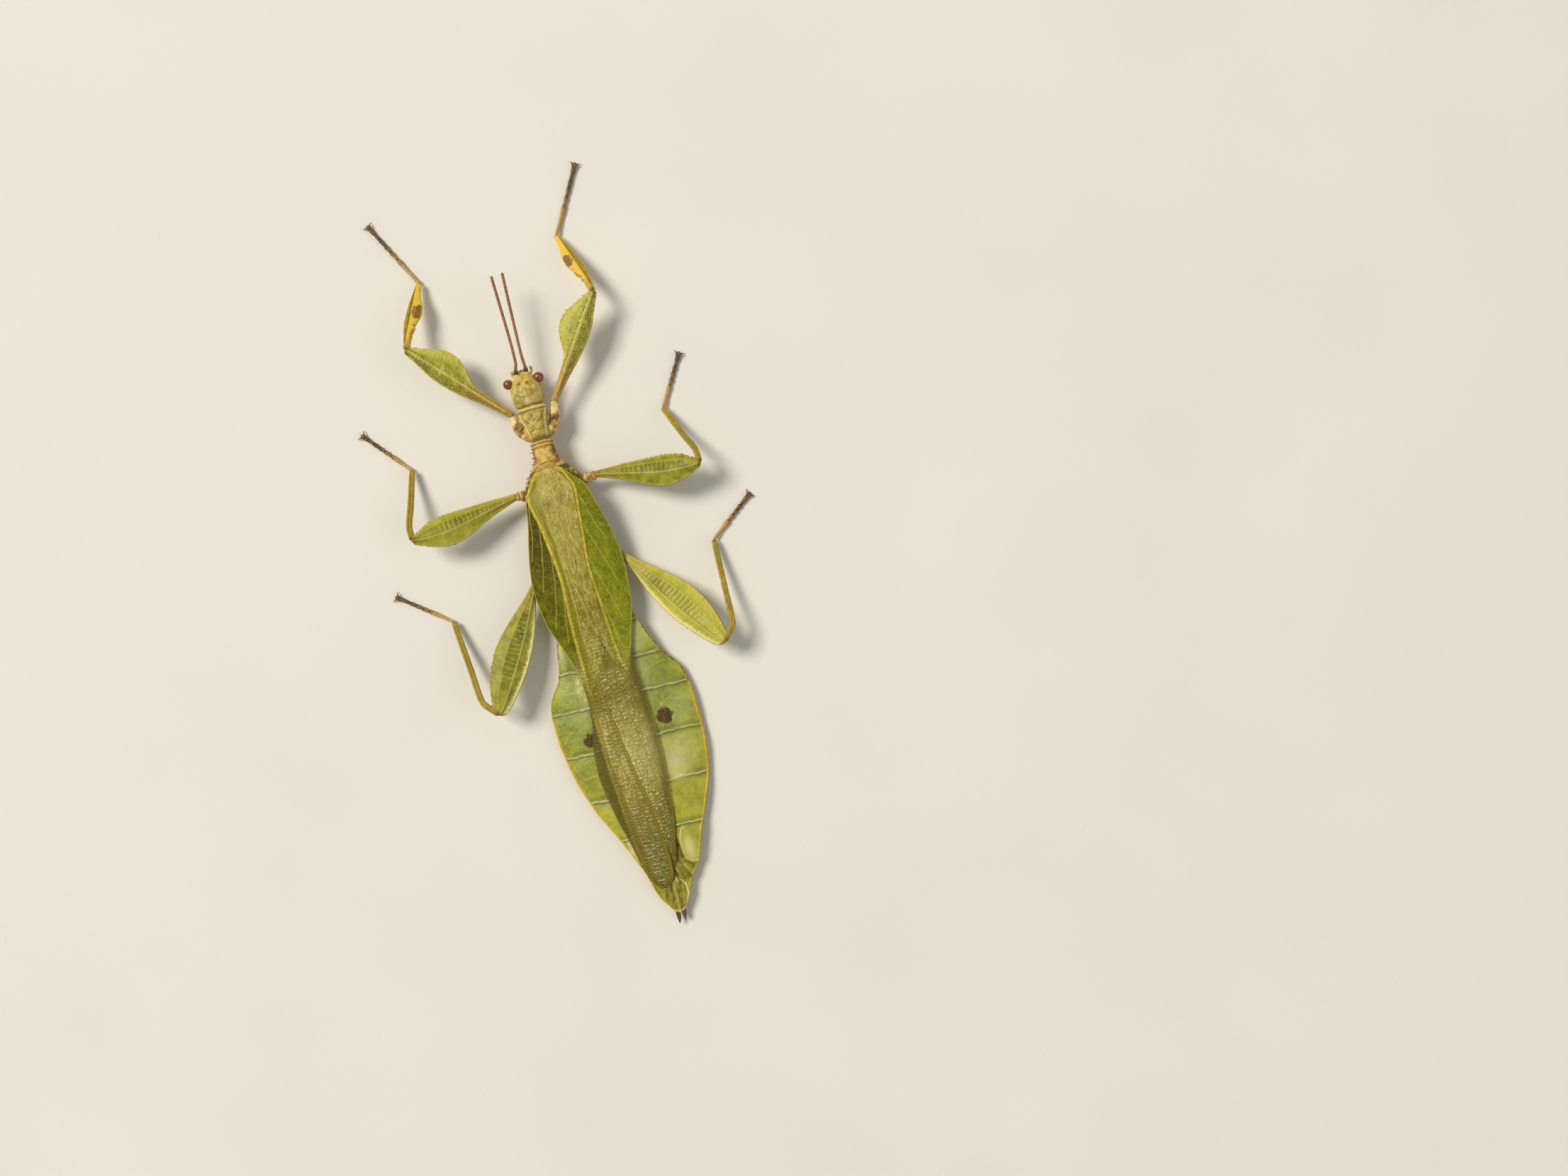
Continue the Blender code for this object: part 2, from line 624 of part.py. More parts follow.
def make_cerci():
    """The two short feelers at the tail."""
    for name, side in (("cercus_left", -1), ("cercus_right", 1)):
        add_node(name, tube(CERCUS, CERCUS_RADIUS, 6, 4), "abdomen_green", side)


def wing_lines(inner, vein, outer, ridge):
    """Places across a wing at one station, each with the height of the vein there."""
    reach = min(VEIN_REACH, VEIN_REACH_SHARE * (outer - vein), VEIN_REACH_SHARE * (vein - inner))
    lines = [(inner, 0)]
    lines += [(inner + (vein - reach - inner) * share, rise) for share, rise in INNER_LINES]
    lines += [(vein - reach, 0), (vein, ridge), (vein + reach, 0)]
    lines += [(vein + reach + (outer - vein - reach) * share, rise) for share, rise in OUTER_LINES]
    return lines


def wing(edges, lift, ridge, fall):
    """A folded wing, its veins raised in its upper face. Beyond the main vein it falls away."""
    start, end = edges["inner"][0][0], edges["inner"][-1][0]
    lower, upper = [], []
    for station in spread(start, end, WING_ROWS):
        vein = smooth(edges["vein"], station)
        lines = wing_lines(smooth(edges["inner"], station), vein, smooth(edges["outer"], station), ridge)
        base = smooth(lift, station)
        heights = [back_height(x, station) + base - fall * max(x - vein, 0) ** 2 for x, rise in lines]
        lower.append([(x, -station, z) for (x, rise), z in zip(lines, heights)])
        upper.append([(x, -station, z + WING_THICK + rise) for (x, rise), z in zip(lines, heights)])
    return slab(lower, upper)


def make_wings():
    level = ((17, HIND_WING_LIFT), (62, HIND_WING_LIFT))
    for side, name, fore, hind in (
        (-1, "left", FOREWING_LEFT, HIND_WING_LEFT),
        (1, "right", FOREWING_RIGHT, HIND_WING_RIGHT),
    ):
        shape = wing(fore, FOREWING_RISE, FOREWING_RIDGE, FOREWING_SLOPE)
        add_node("forewing_" + name, shape, "wing_green", side)
        add_node("hindwing_" + name, wing(hind, level, VEIN_RISE, 0), "membrane_grey", side)


def limb(route, shares, section, start_plane, end_plane):
    """A closed limb along a route, each end cut to a plane given as (point, direction)."""
    headings = [route.heading(share) for share in shares]
    rings = []
    for share, heading in zip(shares, headings):
        side = UP.cross(heading).normalized()
        rise = heading.cross(side)
        rings.append([route.at(share) + side * across + rise * up for across, up in section(share)])
    distances = [share * route.length for share in shares]
    mitre(rings, headings, distances, start_plane)
    distances = [route.length - distance for distance in distances]
    mitre(rings[::-1], headings[::-1], distances[::-1], end_plane)
    return lofted(rings)


def mitre(rings, headings, distances, plane):
    """Slide a limb's first ring into a plane, and the rings near it less and less."""
    point, face = plane
    shifts = [(point - corner).dot(face) / headings[0].dot(face) for corner in rings[0]]
    for ring, heading, distance in zip(rings, headings, distances):
        amount = max(1 - distance / MITRE_REACH, 0)
        for i, shift in enumerate(shifts):
            ring[i] = ring[i] + heading * shift * amount


def blade_section(front, rear, thick, ridges, groove):
    """Eight points around a flat limb: two ridges with a groove between them, and a keel below."""
    high, rim = thick / 2, LIMB_EDGE / 2
    return (
        (front, rim), (front * ridges, high), (0, high - groove), (-rear * ridges, high),
        (-rear, rim), (-rear, -rim), (0, -high * LIMB_KEEL), (front, -rim),
    )


def tooth_shares():
    """Rows of a thigh: a few plain ones, then the closer ones that carry teeth."""
    plain = spread(0, TOOTHED_FROM, PLAIN_ROWS)[:-1]
    return plain + spread(TOOTHED_FROM, 1, TOOTHED_ROWS)


def make_femur(pair, name, side, route, start_plane, end_plane):
    """A thigh with a thin lobe to each side, toothed towards the knee."""
    shares = tooth_shares()
    toothed = {share: i % 2 for i, share in enumerate(shares[PLAIN_ROWS:-2])}

    def section(share):
        tooth = TOOTH * toothed.get(share, 0)
        front = smooth(FEMUR_FRONT[pair], share) + tooth
        rear = smooth(FEMUR_REAR[pair], share) + tooth
        thick = smooth(FEMUR_THICK, share)
        groove = FEMUR_GROOVE * hump(share, 0.5, 0.5)
        return blade_section(front, rear, thick, FEMUR_RIDGES[pair], groove)

    shape = limb(route, shares, section, start_plane, end_plane)
    add_node("femur_" + name, shape, "thigh_green", side)


def make_tibia(pair, name, side, route, start_plane, end_plane):
    """A shin, lobed on the front pair only."""

    def section(share):
        front = smooth(TIBIA_FRONT[pair], share)
        rear = smooth(TIBIA_REAR[pair], share)
        return blade_section(front, rear, smooth(TIBIA_THICK, share), TIBIA_RIDGES, 0)

    shape = limb(route, spread(0, 1, TIBIA_ROWS), section, start_plane, end_plane)
    add_node("tibia_" + name, shape, "shin_yellow", side)


def tarsus_rows(length):
    """Shares along a foot, each with its radius and its height over the floor."""
    rows = []
    pad = PAD_LENGTH / length
    for start, end in zip(TARSUS_JOINTS, TARSUS_JOINTS[1:]):
        rows += [(start + WAIST_START * (start > 0), TARSUS_WAIST, WAIST_LIFT)]
        rows += [(end - pad, TARSUS_FLARE, 0), (end, TARSUS_FLARE, 0)]
    return [(share, radius, max(smooth(TARSUS_LIFT, share), lift)) for share, radius, lift in rows]


def claw(toe, heading, side):
    """A curved claw at the toe, bending out and down to its point."""
    out = UP.cross(heading) * side
    points = [toe + heading * ahead + out * apart + UP * rise for ahead, apart, rise in CLAW]
    return tube(points, CLAW_RADIUS, 6, 5)


def make_tarsus(name, side, route, start_plane):
    """A foot with its joints on the floor, an end pad and two claws."""
    rows = {share: (radius, lift) for share, radius, lift in tarsus_rows(route.length)}

    def section(share):
        radius, lift = rows[share]
        return [(across * radius, lift + up * radius) for across, up in PAD_OUTLINE]

    heading = route.heading(1)
    toe = route.at(1)
    shape = limb(route, list(rows), section, start_plane, (toe, heading))
    pad = ball((0, 0, 0), TOE_PAD, 10, 6)
    place = Matrix.Translation(toe + heading * TOE_PAD_REACH + UP * TOE_PAD_HEIGHT)
    turn = heading.to_track_quat("Y", "Z").to_matrix().to_4x4()
    bmesh.ops.transform(pad, matrix=place @ turn, verts=pad.verts)
    for vertex in pad.verts:
        vertex.co.z = max(vertex.co.z, 0)
    joined = [pad, claw(toe, heading, -1), claw(toe, heading, 1)]
    add_node("tarsus_" + name, shape, "foot_brown", side, joined)


def coxa_section(share):
    """The round section of the first joint of a leg."""
    radius = smooth(COXA_RADIUS, share)
    angles = spread(0, math.tau, COXA_SIDES + 1)[:-1]
    return [(math.cos(angle) * radius, math.sin(angle) * radius) for angle in angles]


def joint_planes(point, before, after):
    """The two faces that meet at a joint, half the gap to each side of it."""
    face = (before + after).normalized()
    return (point - face * GAP / 2, face), (point + face * GAP / 2, face)


def shin_route(pair, knee, ankle):
    """The way from knee to ankle, bowed outwards just past the knee."""
    bow = OUTWARDS * TIBIA_BOW[pair]
    halfway = knee.lerp(ankle, 0.5) + bow * TIBIA_HALFWAY_BOW
    return Route((knee, knee.lerp(ankle, TIBIA_BEND) + bow, halfway, ankle))


def make_leg(pair, side_name, joints):
    """The four pieces of one leg, which meet at planes across its joints."""
    name, side = pair + "_" + side_name, 1 if side_name == "right" else -1
    root, hip, knee, ankle, toe = (Vector(joint) for joint in joints)
    middle = COXA_MIDDLE[pair]
    coxa = Route((root, middle, hip) if middle else (root, hip))
    thigh = Route((hip, knee))
    shin = shin_route(pair, knee, ankle)
    foot = Route((ankle.xy.to_3d(), toe))
    coxa_end, thigh_start = joint_planes(hip, coxa.heading(1), thigh.heading(0))
    thigh_end, shin_start = joint_planes(knee, thigh.heading(1), shin.heading(0))
    shin_end, foot_start = joint_planes(ankle, shin.heading(1), foot.heading(0))
    shape = limb(coxa, spread(0, 1, COXA_ROWS), coxa_section, (root, OUTWARDS), coxa_end)
    add_node("coxa_" + name, shape, "thorax_tan", side)
    make_femur(pair, name, side, thigh, thigh_start, thigh_end)
    make_tibia(pair, name, side, shin, shin_start, shin_end)
    make_tarsus(name, side, foot, foot_start)


for obj in list(bpy.data.objects):
    bpy.data.objects.remove(obj)
insect = bpy.data.objects.new("leaf_insect", None)
insect.location = (AXIS_X * MM, EYES_Y * MM, 0)
bpy.context.scene.collection.objects.link(insect)

make_head()
make_eyes()
make_antennae()
make_prothorax()
make_thorax()
make_abdomen()
make_cerci()
make_wings()
for (pair, side_name), joints in JOINTS.items():
    make_leg(pair, side_name, joints)
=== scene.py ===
"""A male leaf insect at life size, standing on a pale table and seen from above."""

import itertools
import math

import bpy
import numpy as np
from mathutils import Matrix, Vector


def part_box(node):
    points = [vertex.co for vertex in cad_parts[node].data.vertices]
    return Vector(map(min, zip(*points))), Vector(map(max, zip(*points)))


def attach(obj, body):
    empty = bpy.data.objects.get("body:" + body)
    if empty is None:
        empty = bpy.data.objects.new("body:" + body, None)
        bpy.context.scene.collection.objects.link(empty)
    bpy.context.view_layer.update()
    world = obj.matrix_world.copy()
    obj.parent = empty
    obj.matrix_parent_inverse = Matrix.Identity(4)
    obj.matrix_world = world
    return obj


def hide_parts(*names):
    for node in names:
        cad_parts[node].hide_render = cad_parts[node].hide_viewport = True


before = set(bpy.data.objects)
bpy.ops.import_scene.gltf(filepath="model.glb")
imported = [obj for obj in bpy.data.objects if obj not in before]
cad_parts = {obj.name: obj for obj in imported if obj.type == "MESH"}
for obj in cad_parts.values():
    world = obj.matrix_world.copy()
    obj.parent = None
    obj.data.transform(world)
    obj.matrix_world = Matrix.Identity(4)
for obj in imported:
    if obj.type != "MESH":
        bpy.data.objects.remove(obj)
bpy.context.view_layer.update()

# The insect's own measures
# Every length below is in millimetres. x runs to the insect's right, y forwards from the middle
# of its eyes and z up from the table, and a station is a distance behind the eyes.
MM = 0.001
eyes = [corner for name in ("eye_left", "eye_right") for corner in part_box(name)]
HOME = np.array(sum(eyes, Vector()) / 4) / MM
HOME[2] = 0

# Table
# A broad, flat sheet of pale matt card lies under the insect. Its surface has a very faint
# tooth, as drawing paper has.
TABLE_SIZE = 4000
TABLE_TOP = -0.02 * MM
TABLE_COLOUR = (232, 230, 224)
TABLE_TOOTH = (240, 238, 233)


def ink(red, green, blue):
    """A colour from levels of 0 to 255, as Blender holds it."""
    shares = [level / 255 for level in (red, green, blue)]
    return [s / 12.92 if s <= 0.04045 else ((s + 0.055) / 1.055) ** 2.4 for s in shares] + [1]


class Wire:
    """One output of a shader node. Sums written with it add their nodes to its material."""

    def __init__(self, tree, socket=None):
        self.tree = tree
        self.socket = socket

    def make(self, kind, settings=None, sockets=None, output=0):
        """Add any node: its settings first, and then the values or wires of its sockets."""
        node = self.tree.nodes.new("ShaderNode" + kind)
        for name, value in (settings or {}).items():
            if name == "stops":
                while len(node.color_ramp.elements) < len(value):
                    node.color_ramp.elements.new(1)
                for stop, (place, colour) in zip(node.color_ramp.elements, value):
                    stop.position = place
                    stop.color = colour
            else:
                setattr(node, name, value)
        for name, value in (sockets or {}).items():
            if isinstance(value, Wire):
                self.tree.links.new(value.socket, node.inputs[name])
            else:
                node.inputs[name].default_value = value
        return Wire(self.tree, node.outputs[output])

    def maths(self, operation, *terms, clamp=False):
        settings = {"operation": operation, "use_clamp": clamp}
        return self.make("Math", settings, dict(enumerate(terms)))

    def __add__(self, other):
        return self.maths("ADD", self, other)

    __radd__ = __add__

    def __mul__(self, other):
        return self.maths("MULTIPLY", self, other)

    __rmul__ = __mul__

    def __sub__(self, other):
        return self.maths("SUBTRACT", self, other)

    def __rsub__(self, other):
        return self.maths("SUBTRACT", other, self)

    def __truediv__(self, other):
        return self.maths("DIVIDE", self, other)

    def __pow__(self, other):
        return self.maths("POWER", self, other)

    def between(self, low, high):
        """0 up to the low value and 1 from the high one, rising smoothly between them."""
        sockets = {"Value": self, "From Min": low, "From Max": high}
        return self.make("MapRange", {"interpolation_type": "SMOOTHSTEP"}, sockets)

    def mix(self, bare, full):
        """A colour that goes from bare to full as this wire goes from 0 to 1."""
        sockets = {0: self, 6: bare, 7: full}
        return self.make("Mix", {"data_type": "RGBA", "clamp_factor": True}, sockets, 2)


class Finish(Wire):
    """A finish in the making: it reads marks and grains, and ends in one shader."""

    def __init__(self, name, plain=None):
        self.material = bpy.data.materials.new(name)
        self.material.use_nodes = True
        super().__init__(self.material.node_tree)
        self.shader = self.tree.nodes["Principled BSDF"]
        for socket, value in (plain or {}).items():
            self.shader.inputs[socket].default_value = value
        self.place = self.make("TexCoord", output=3)

    def mark(self, name):
        """A mark that the mesh carries at each of its points."""
        return self.make("Attribute", {"attribute_name": name}, output=2)

    def grain(self, size, detail=3, roughness=0.55, stretch=None):
        """Soft random grain from 0 to 1, in clumps of about the given size."""
        place = self.place
        if stretch:
            scale = {"Vector": place, "Scale": stretch}
            place = self.make("Mapping", {"vector_type": "POINT"}, scale)
        sockets = {"Vector": place, "Scale": 1 / (size * MM), "Detail": detail, "Roughness": roughness}
        return self.make("TexNoise", None, sockets)

    def pits(self, size, feature="F1"):
        """Distance from the nearest of many scattered points."""
        sockets = {"Vector": self.place, "Scale": 1 / (size * MM)}
        return self.make("TexVoronoi", {"feature": feature}, sockets)

    def net(self, size, waver, stretch=(1, 1, 1)):
        """Wavy lines round irregular cells of about the given size: 1 on a line and 0 inside."""
        wobble = {"Vector": self.place, "Scale": 1.6 / (size * MM), "Detail": 3}
        shifted = {0: self.make("TexNoise", None, wobble, 1), 1: (waver * size * MM,) * 3, 2: self.place}
        place = self.make("VectorMath", {"operation": "MULTIPLY_ADD"}, shifted)
        place = self.make("Mapping", {"vector_type": "POINT"}, {"Vector": place, "Scale": stretch})
        sockets = {"Vector": place, "Scale": 1 / (size * MM)}
        edge = self.make("TexVoronoi", {"feature": "DISTANCE_TO_EDGE"}, sockets)
        return edge.between(0.09, 0.01)

    def glints(self, size, stretch, width=0.03):
        """Thin, wavy, broken lines, as of light on the crests of fine wrinkles."""
        crest = self.maths("ABSOLUTE", self.grain(size, 2, 0.5, stretch) - 0.5)
        return crest.between(width, 0.25 * width) * self.grain(2.2 * size, 2).between(0.42, 0.58)

    def dashes(self, turns, size):
        """Thin broken lines along the whole turns of a mark that counts the wrinkles of a wing, as painted
        glints of light on the wrinkle crests.
        """
        row = self.maths("PINGPONG", self.mark(turns), 0.5)
        piece = self.grain(size, 2, 0.5, (1.2, 1.0, 1.0)).between(0.46, 0.6)
        return row.between(0.31, 0.43) * piece * self.grain(3 * size, 1).between(0.3, 0.5)

    def done(self, colour, roughness, relief=None, depth=0.03, alpha=None):
        """Join the finished colour, roughness and relief to the shader."""
        wires = {"Base Color": colour, "Roughness": roughness, "Alpha": alpha}
        if relief:
            bump = {"Height": relief, "Distance": depth * MM, "Strength": 1.0}
            wires["Normal"] = self.make("Bump", None, bump)
        for name, value in wires.items():
            if isinstance(value, Wire):
                self.tree.links.new(value.socket, self.shader.inputs[name])
            elif value is not None:
                self.shader.inputs[name].default_value = value
        return self.material


card = Finish("card", {"Specular IOR Level": 0.3})
card.done(card.grain(30, 2).mix(ink(*TABLE_COLOUR), ink(*TABLE_TOOTH)), 0.85, card.grain(0.6), 0.02)

half = TABLE_SIZE * MM / 2
mesh = bpy.data.meshes.new("table")
corners = [(x * half, y * half, TABLE_TOP) for x, y in ((-1, -1), (1, -1), (1, 1), (-1, 1))]
mesh.from_pydata(corners, [], [(0, 1, 2, 3)])
mesh.materials.append(card.material)
table = bpy.data.objects.new("table", mesh)
bpy.context.scene.collection.objects.link(table)

# Light
# One large soft light stands above and to the left of the head, a dimmer one opposite, and a
# pale room all round fills the shadows.
LIGHTS = (
    ("key", (-950, 850, 1650), 700, 35, (255, 247, 232)),
    ("fill", (1300, -600, 1300), 1500, 5, (255, 255, 255)),
)
ROOM_COLOUR = (240, 238, 232)
ROOM_STRENGTH = 0.32

for name, spot, size, power, colour in LIGHTS:
    lamp = bpy.data.lights.new(name, "AREA")
    lamp.size = size * MM
    lamp.energy = power
    lamp.color = ink(*colour)[:3]
    stand = bpy.data.objects.new(name, lamp)
    stand.location = Vector(spot) * MM
    stand.rotation_euler = (-stand.location).to_track_quat("-Z", "Y").to_euler()
    bpy.context.scene.collection.objects.link(stand)
room = bpy.data.worlds.new("room")
room.use_nodes = True
room.node_tree.nodes["Background"].inputs["Color"].default_value = ink(*ROOM_COLOUR)
room.node_tree.nodes["Background"].inputs["Strength"].default_value = ROOM_STRENGTH
bpy.context.scene.world = room
bpy.context.scene.view_settings.view_transform = "Standard"

# Camera
# It looks straight down. The picture's middle lies to the right of the tail, and the picture is
# turned so that the head leans up and to the left.
PICTURE_MIDDLE = (22.54, -31.9)
PICTURE_WIDTH = 184.3
CAMERA_HEIGHT = 203
PICTURE_LEVEL = 3
LEAN = -16.34
SENSOR = 36

optics = bpy.data.cameras.new("camera")
optics.sensor_width = SENSOR
optics.lens = SENSOR * (CAMERA_HEIGHT - PICTURE_LEVEL) / PICTURE_WIDTH
optics.clip_start = 0.01
optics.clip_end = 10
camera = bpy.data.objects.new("camera", optics)
camera.location = Vector((PICTURE_MIDDLE[0] + HOME[0], PICTURE_MIDDLE[1] + HOME[1], CAMERA_HEIGHT)) * MM
camera.rotation_euler = (0, 0, math.radians(LEAN))
bpy.context.scene.collection.objects.link(camera)
bpy.context.scene.camera = camera

# Abdomen
# A flat, leaf-shaped body of soft green skin: a thicker middle between two thin lobes, with a
# pale ridge across at each joint between its rings and a beaded rim, yellow behind and brown
# in front.
BACK_TOP = (
    (7.4, 3.9), (12.5, 3.9), (17, 3.5), (24, 3.1), (32, 2.6), (42, 2.1), (52, 1.8), (60, 1.6),
    (66, 1.3),
)
BACK_DROOP = ((10, 0.05), (24, 0.04), (32, 0.03), (42, 0.0146), (66, 0.0146))
ABDOMEN_LEFT = (
    (24.3, 3.0), (27, 3.9), (30.7, 5.1), (34.7, 6.1), (37.5, 7.9), (39.5, 8.3), (41.5, 8.3),
    (45.5, 7.9), (50.5, 6.6), (55, 4.6), (59.8, 2.75), (62.2, 2.15), (63.7, 1.6), (64.5, 1.15),
    (65.3, 0.75),
)
ABDOMEN_RIGHT = (
    (24.3, 3.0), (27, 3.9), (31, 5.1), (34.5, 6.4), (37.8, 8.4), (41, 8.8), (45, 8.75),
    (49.8, 8.0), (53.5, 6.6), (57, 5.0), (59.9, 3.9), (61, 3.05), (62.1, 2.25), (63.5, 1.75),
    (64.5, 1.3), (65.3, 0.8),
)
RIDGES = {
    -1: (30.2, 34.6, 39.2, 44.5, 50.3, 55.3, 59.3, 62.4),
    1: (30.2, 34.5, 38.7, 44.1, 49.8, 55.2, 59.3, 62.4),
}
RIDGE_HEIGHT = 0.13
RIDGE_WIDTH = 0.075
BELLY = ((24.3, 1.1), (30, 0.6), (36, 0.04), (38, 0), (52, 0), (56, 0.15), (60, 0.4), (65, 0.7))
BELLY_WIDTH = 2.2
LOBE_THICK = 0.34
FLAP_EDGE = (
    (3.0, -55.6), (2.6, -56.2), (2.33, -57.2), (2.3, -58.2), (2.36, -59.0), (2.6, -59.55), (3.1, -59.93),
    (3.75, -60.05), (4.4, -60.12),
)
PLATE_WIDTH = ((61.2, 0.5), (61.8, 1.2), (62.5, 1.6), (63.3, 1.6), (64.3, 1.25), (65.3, 0.75))
PLATE_MIDDLE = ((61, 0.35), (63, 0.25), (65.3, 0.03))
EYESPOTS = ((-4.3, -42.8, 0.92), (4.75, -42.4, 0.98))
# Pale patches on the lobes, each given as its strength, centre and reach. The bright one on the right at
# (4.4, -48.2), beside the ridge, is painted sheen.
WHITE_PATCHES = (
    (0.4, 3.6, -36, 0.9, 3), (0.95, 4.4, -48.2, 1.3, 1.7), (0.5, 5.2, -45.8, 2.0, 1.4),
    (0.35, 6.8, -42.0, 1.3, 1.8), (0.25, -5.9, -36.2, 1.3, 1.0), (0.2, 6.2, -47.8, 1.2, 1.2),
)
# Darker patches of skin, each given as its strength, centre and reach. The one at (-4.4, -32.8), beside the
# left wing's edge, is painted shade.
DARK_PATCHES = (
    (0.5, 6.2, -37.0, 1.2, 1.4), (0.2, 5.2, -52.6, 1.6, 1.5), (0.7, -4.4, -32.8, 0.8, 2.4),
    (0.35, -6.2, -41.6, 1.6, 2.0), (0.6, -6.2, -47.6, 1.2, 2.2), (0.4, 4.6, -57.8, 0.8, 1.5),
)
# Folded patches of skin: their folds are in the relief, and painted sheen and glints lie over them.
FOLDED_PATCHES = ((1, -3.55, -56.6, 0.55, 2.0), (1, -3.9, -36.9, 0.5, 2.4))
LOBE_VEINS = (
    ((3.6, -37), (5.0, -36.2), (6.6, -36.0)), ((3.6, -42), (5.6, -40.6), (7.4, -41)),
    ((4.2, -46.4), (6.0, -46), (7.6, -46.6)), ((4.4, -52.2), (5.8, -52.6), (6.4, -51.4)),
    ((-4.4, -37), (-6.0, -36.8), (-7.2, -38)), ((-4.8, -41.8), (-6.6, -41.4), (-7.6, -42.4)),
    ((-4.9, -47), (-6.4, -47.2), (-7.2, -46)), ((-4.6, -52.6), (-5.4, -52.4), (-5.9, -51.6)),
)


def curve(keys, place):
    """The smooth line through keys, which are (place, value) pairs, read at many places."""
    at, value = np.array(keys, float).T
    rise = np.diff(value) / np.diff(at)
    before, after = np.append(rise[0], rise), np.append(rise, rise[-1])
    same = before * after > 0
    slope = np.where(same, 2 * before * after / np.where(same, before + after, 1), 0)
    place = np.clip(place, at[0], at[-1])
    i = np.clip(np.searchsorted(at, place, side="right") - 1, 0, len(rise) - 1)
    width = at[i + 1] - at[i]
    t = (place - at[i]) / width
    ease = t * t * (3 - 2 * t)
    bend = slope[i] * t * (1 - t) ** 2 - slope[i + 1] * t * t * (1 - t)
    return value[i] + (value[i + 1] - value[i]) * ease + width * bend


def scatter(cells, seed):
    """An even random number from 0 to 1 for each whole-number cell."""
    mixed = np.zeros(cells.shape[:-1], np.int64) + seed * 7919
    for k in range(cells.shape[-1]):
        mixed = (mixed ^ (cells[..., k] * (374761393 + 668265262 * k))) & 0xFFFFFFFF
        mixed = ((mixed ^ (mixed >> 13)) * 1274126177) & 0xFFFFFFFF
        mixed ^= mixed >> 16
    return (mixed & 0xFFFFFF) / 0x1000000


def unit(values):
    """Values held between 0 and 1."""
    return np.clip(values, 0, 1)


def lumps(points, size, seed=0):
    """Smooth random heights from -1 to 1, in lumps of about the given size."""
    place = np.asarray(points, float) / size
    cell = np.floor(place).astype(np.int64)
    part = place - cell
    part = part * part * (3 - 2 * part)
    total = np.zeros(place.shape[:-1])
    for corner in itertools.product((0, 1), repeat=place.shape[-1]):
        weight = np.where(corner, part, 1 - part).prod(-1)
        total += weight * (2 * scatter(cell + np.array(corner), seed) - 1)
    return total


def bell(distance, width):
    """A soft hump of height 1 over a distance of 0."""
    return np.exp(-((distance / width) ** 2))


def step(low, high, value):
    """0 below low and 1 above high, rising smoothly between them."""
    t = unit((value - low) / (high - low))
    return t * t * (3 - 2 * t)


def near(x, y, points):
    """The distance of every place (x, y) from a line through points."""
    best = np.inf
    for (start_x, start_y), (end_x, end_y) in zip(points, points[1:]):
        along_x, along_y = end_x - start_x, end_y - start_y
        t = unit(((x - start_x) * along_x + (y - start_y) * along_y) / (along_x**2 + along_y**2))
        best = np.minimum(best, np.hypot(x - start_x - t * along_x, y - start_y - t * along_y))
    return best


def nearest(x, y, lines):
    """The distance of every place (x, y) from the nearest of several lines."""
    return np.min([near(x, y, line) for line in lines], axis=0)


def blot(x, y, centre_x, centre_y, reach_x, reach_y):
    """A soft spot of strength 1 at its centre."""
    return bell(np.hypot((x - centre_x) / reach_x, (y - centre_y) / reach_y), 1)


def blots(x, y, table):
    """Soft spots added up, each given as its strength, its centre and its reach."""
    return sum(strength * blot(x, y, *spot) for strength, *spot in table)


def drop(gap, reach):
    """How far a rounded rim drops: 1 at the edge itself and 0 beyond a gap of reach from it."""
    return 1 - np.sqrt(unit(1 - (1 - unit(gap / reach)) ** 2))


def back(x, station):
    """The height of the body's upper surface, on which the wings lie."""
    return curve(BACK_TOP, station) - curve(BACK_DROOP, station) * x * x


def fit(name, finish, slot, nodes, *shells):
    """Make a piece from closed surfaces through rings of points, and put it in place of its solids.

    Each surface is given as its rings and its marks.
    """
    points, faces, start = [], [], 0
    for rings, marks in shells:
        rows, count, _ = rings.shape
        index = start + np.arange(rows * count).reshape(rows, count)
        along = np.roll(index, -1, axis=1)
        quads = np.stack([index[:-1], along[:-1], along[1:], index[1:]], -1).reshape(-1, 4)
        closed = quads.tolist() + [index[0][::-1].tolist(), index[-1].tolist()]
        local = rings - rings.reshape(-1, 3).mean(axis=0)
        turned = np.cross(np.roll(local, -1, 1)[:-1], local[1:])
        if (local[:-1] * turned).sum() < 0:
            closed = [face[::-1] for face in closed]
        points.append(rings.reshape(-1, 3))
        faces += closed
        start += rows * count
    mesh = bpy.data.meshes.new(name)
    mesh.from_pydata((np.concatenate(points) + HOME) * MM, [], faces)
    for mark in sorted({mark for rings, marks in shells for mark in marks}):
        values = [np.broadcast_to(marks.get(mark, 0), rings.shape[:2]).ravel() for rings, marks in shells]
        layer = mesh.attributes.new(mark, "FLOAT", "POINT")
        layer.data.foreach_set("value", np.concatenate(values).astype(np.float32))
    mesh.shade_smooth()
    mesh.materials.append(finish.material)
    piece = bpy.data.objects.new(name, mesh)
    bpy.context.scene.collection.objects.link(piece)
    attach(piece, "root")
    if nodes:
        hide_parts(*nodes)
    return piece


spans = ((24.35, 55, 248), (55, 63, 106), (63, 65.3, 28))
stations = np.unique(np.concatenate([np.linspace(*span) for span in spans]))
share = np.sin(np.linspace(-1, 1, 185) * math.pi / 2)
low_share = np.sin(np.linspace(1, -1, 62)[1:-1] * math.pi / 2)
station, across = np.meshgrid(stations, np.append(share, low_share), indexing="ij")
side = np.where(across < 0, -1, 1)
edge = np.where(side < 0, curve(ABDOMEN_LEFT, station), curve(ABDOMEN_RIGHT, station))
x = across * edge
y = 0.4 * across**2 * step(63, 65.3, station) - station
rim = edge - abs(x)
top = np.arange(across.shape[1]) < len(share)
place = np.stack([x, y], -1)

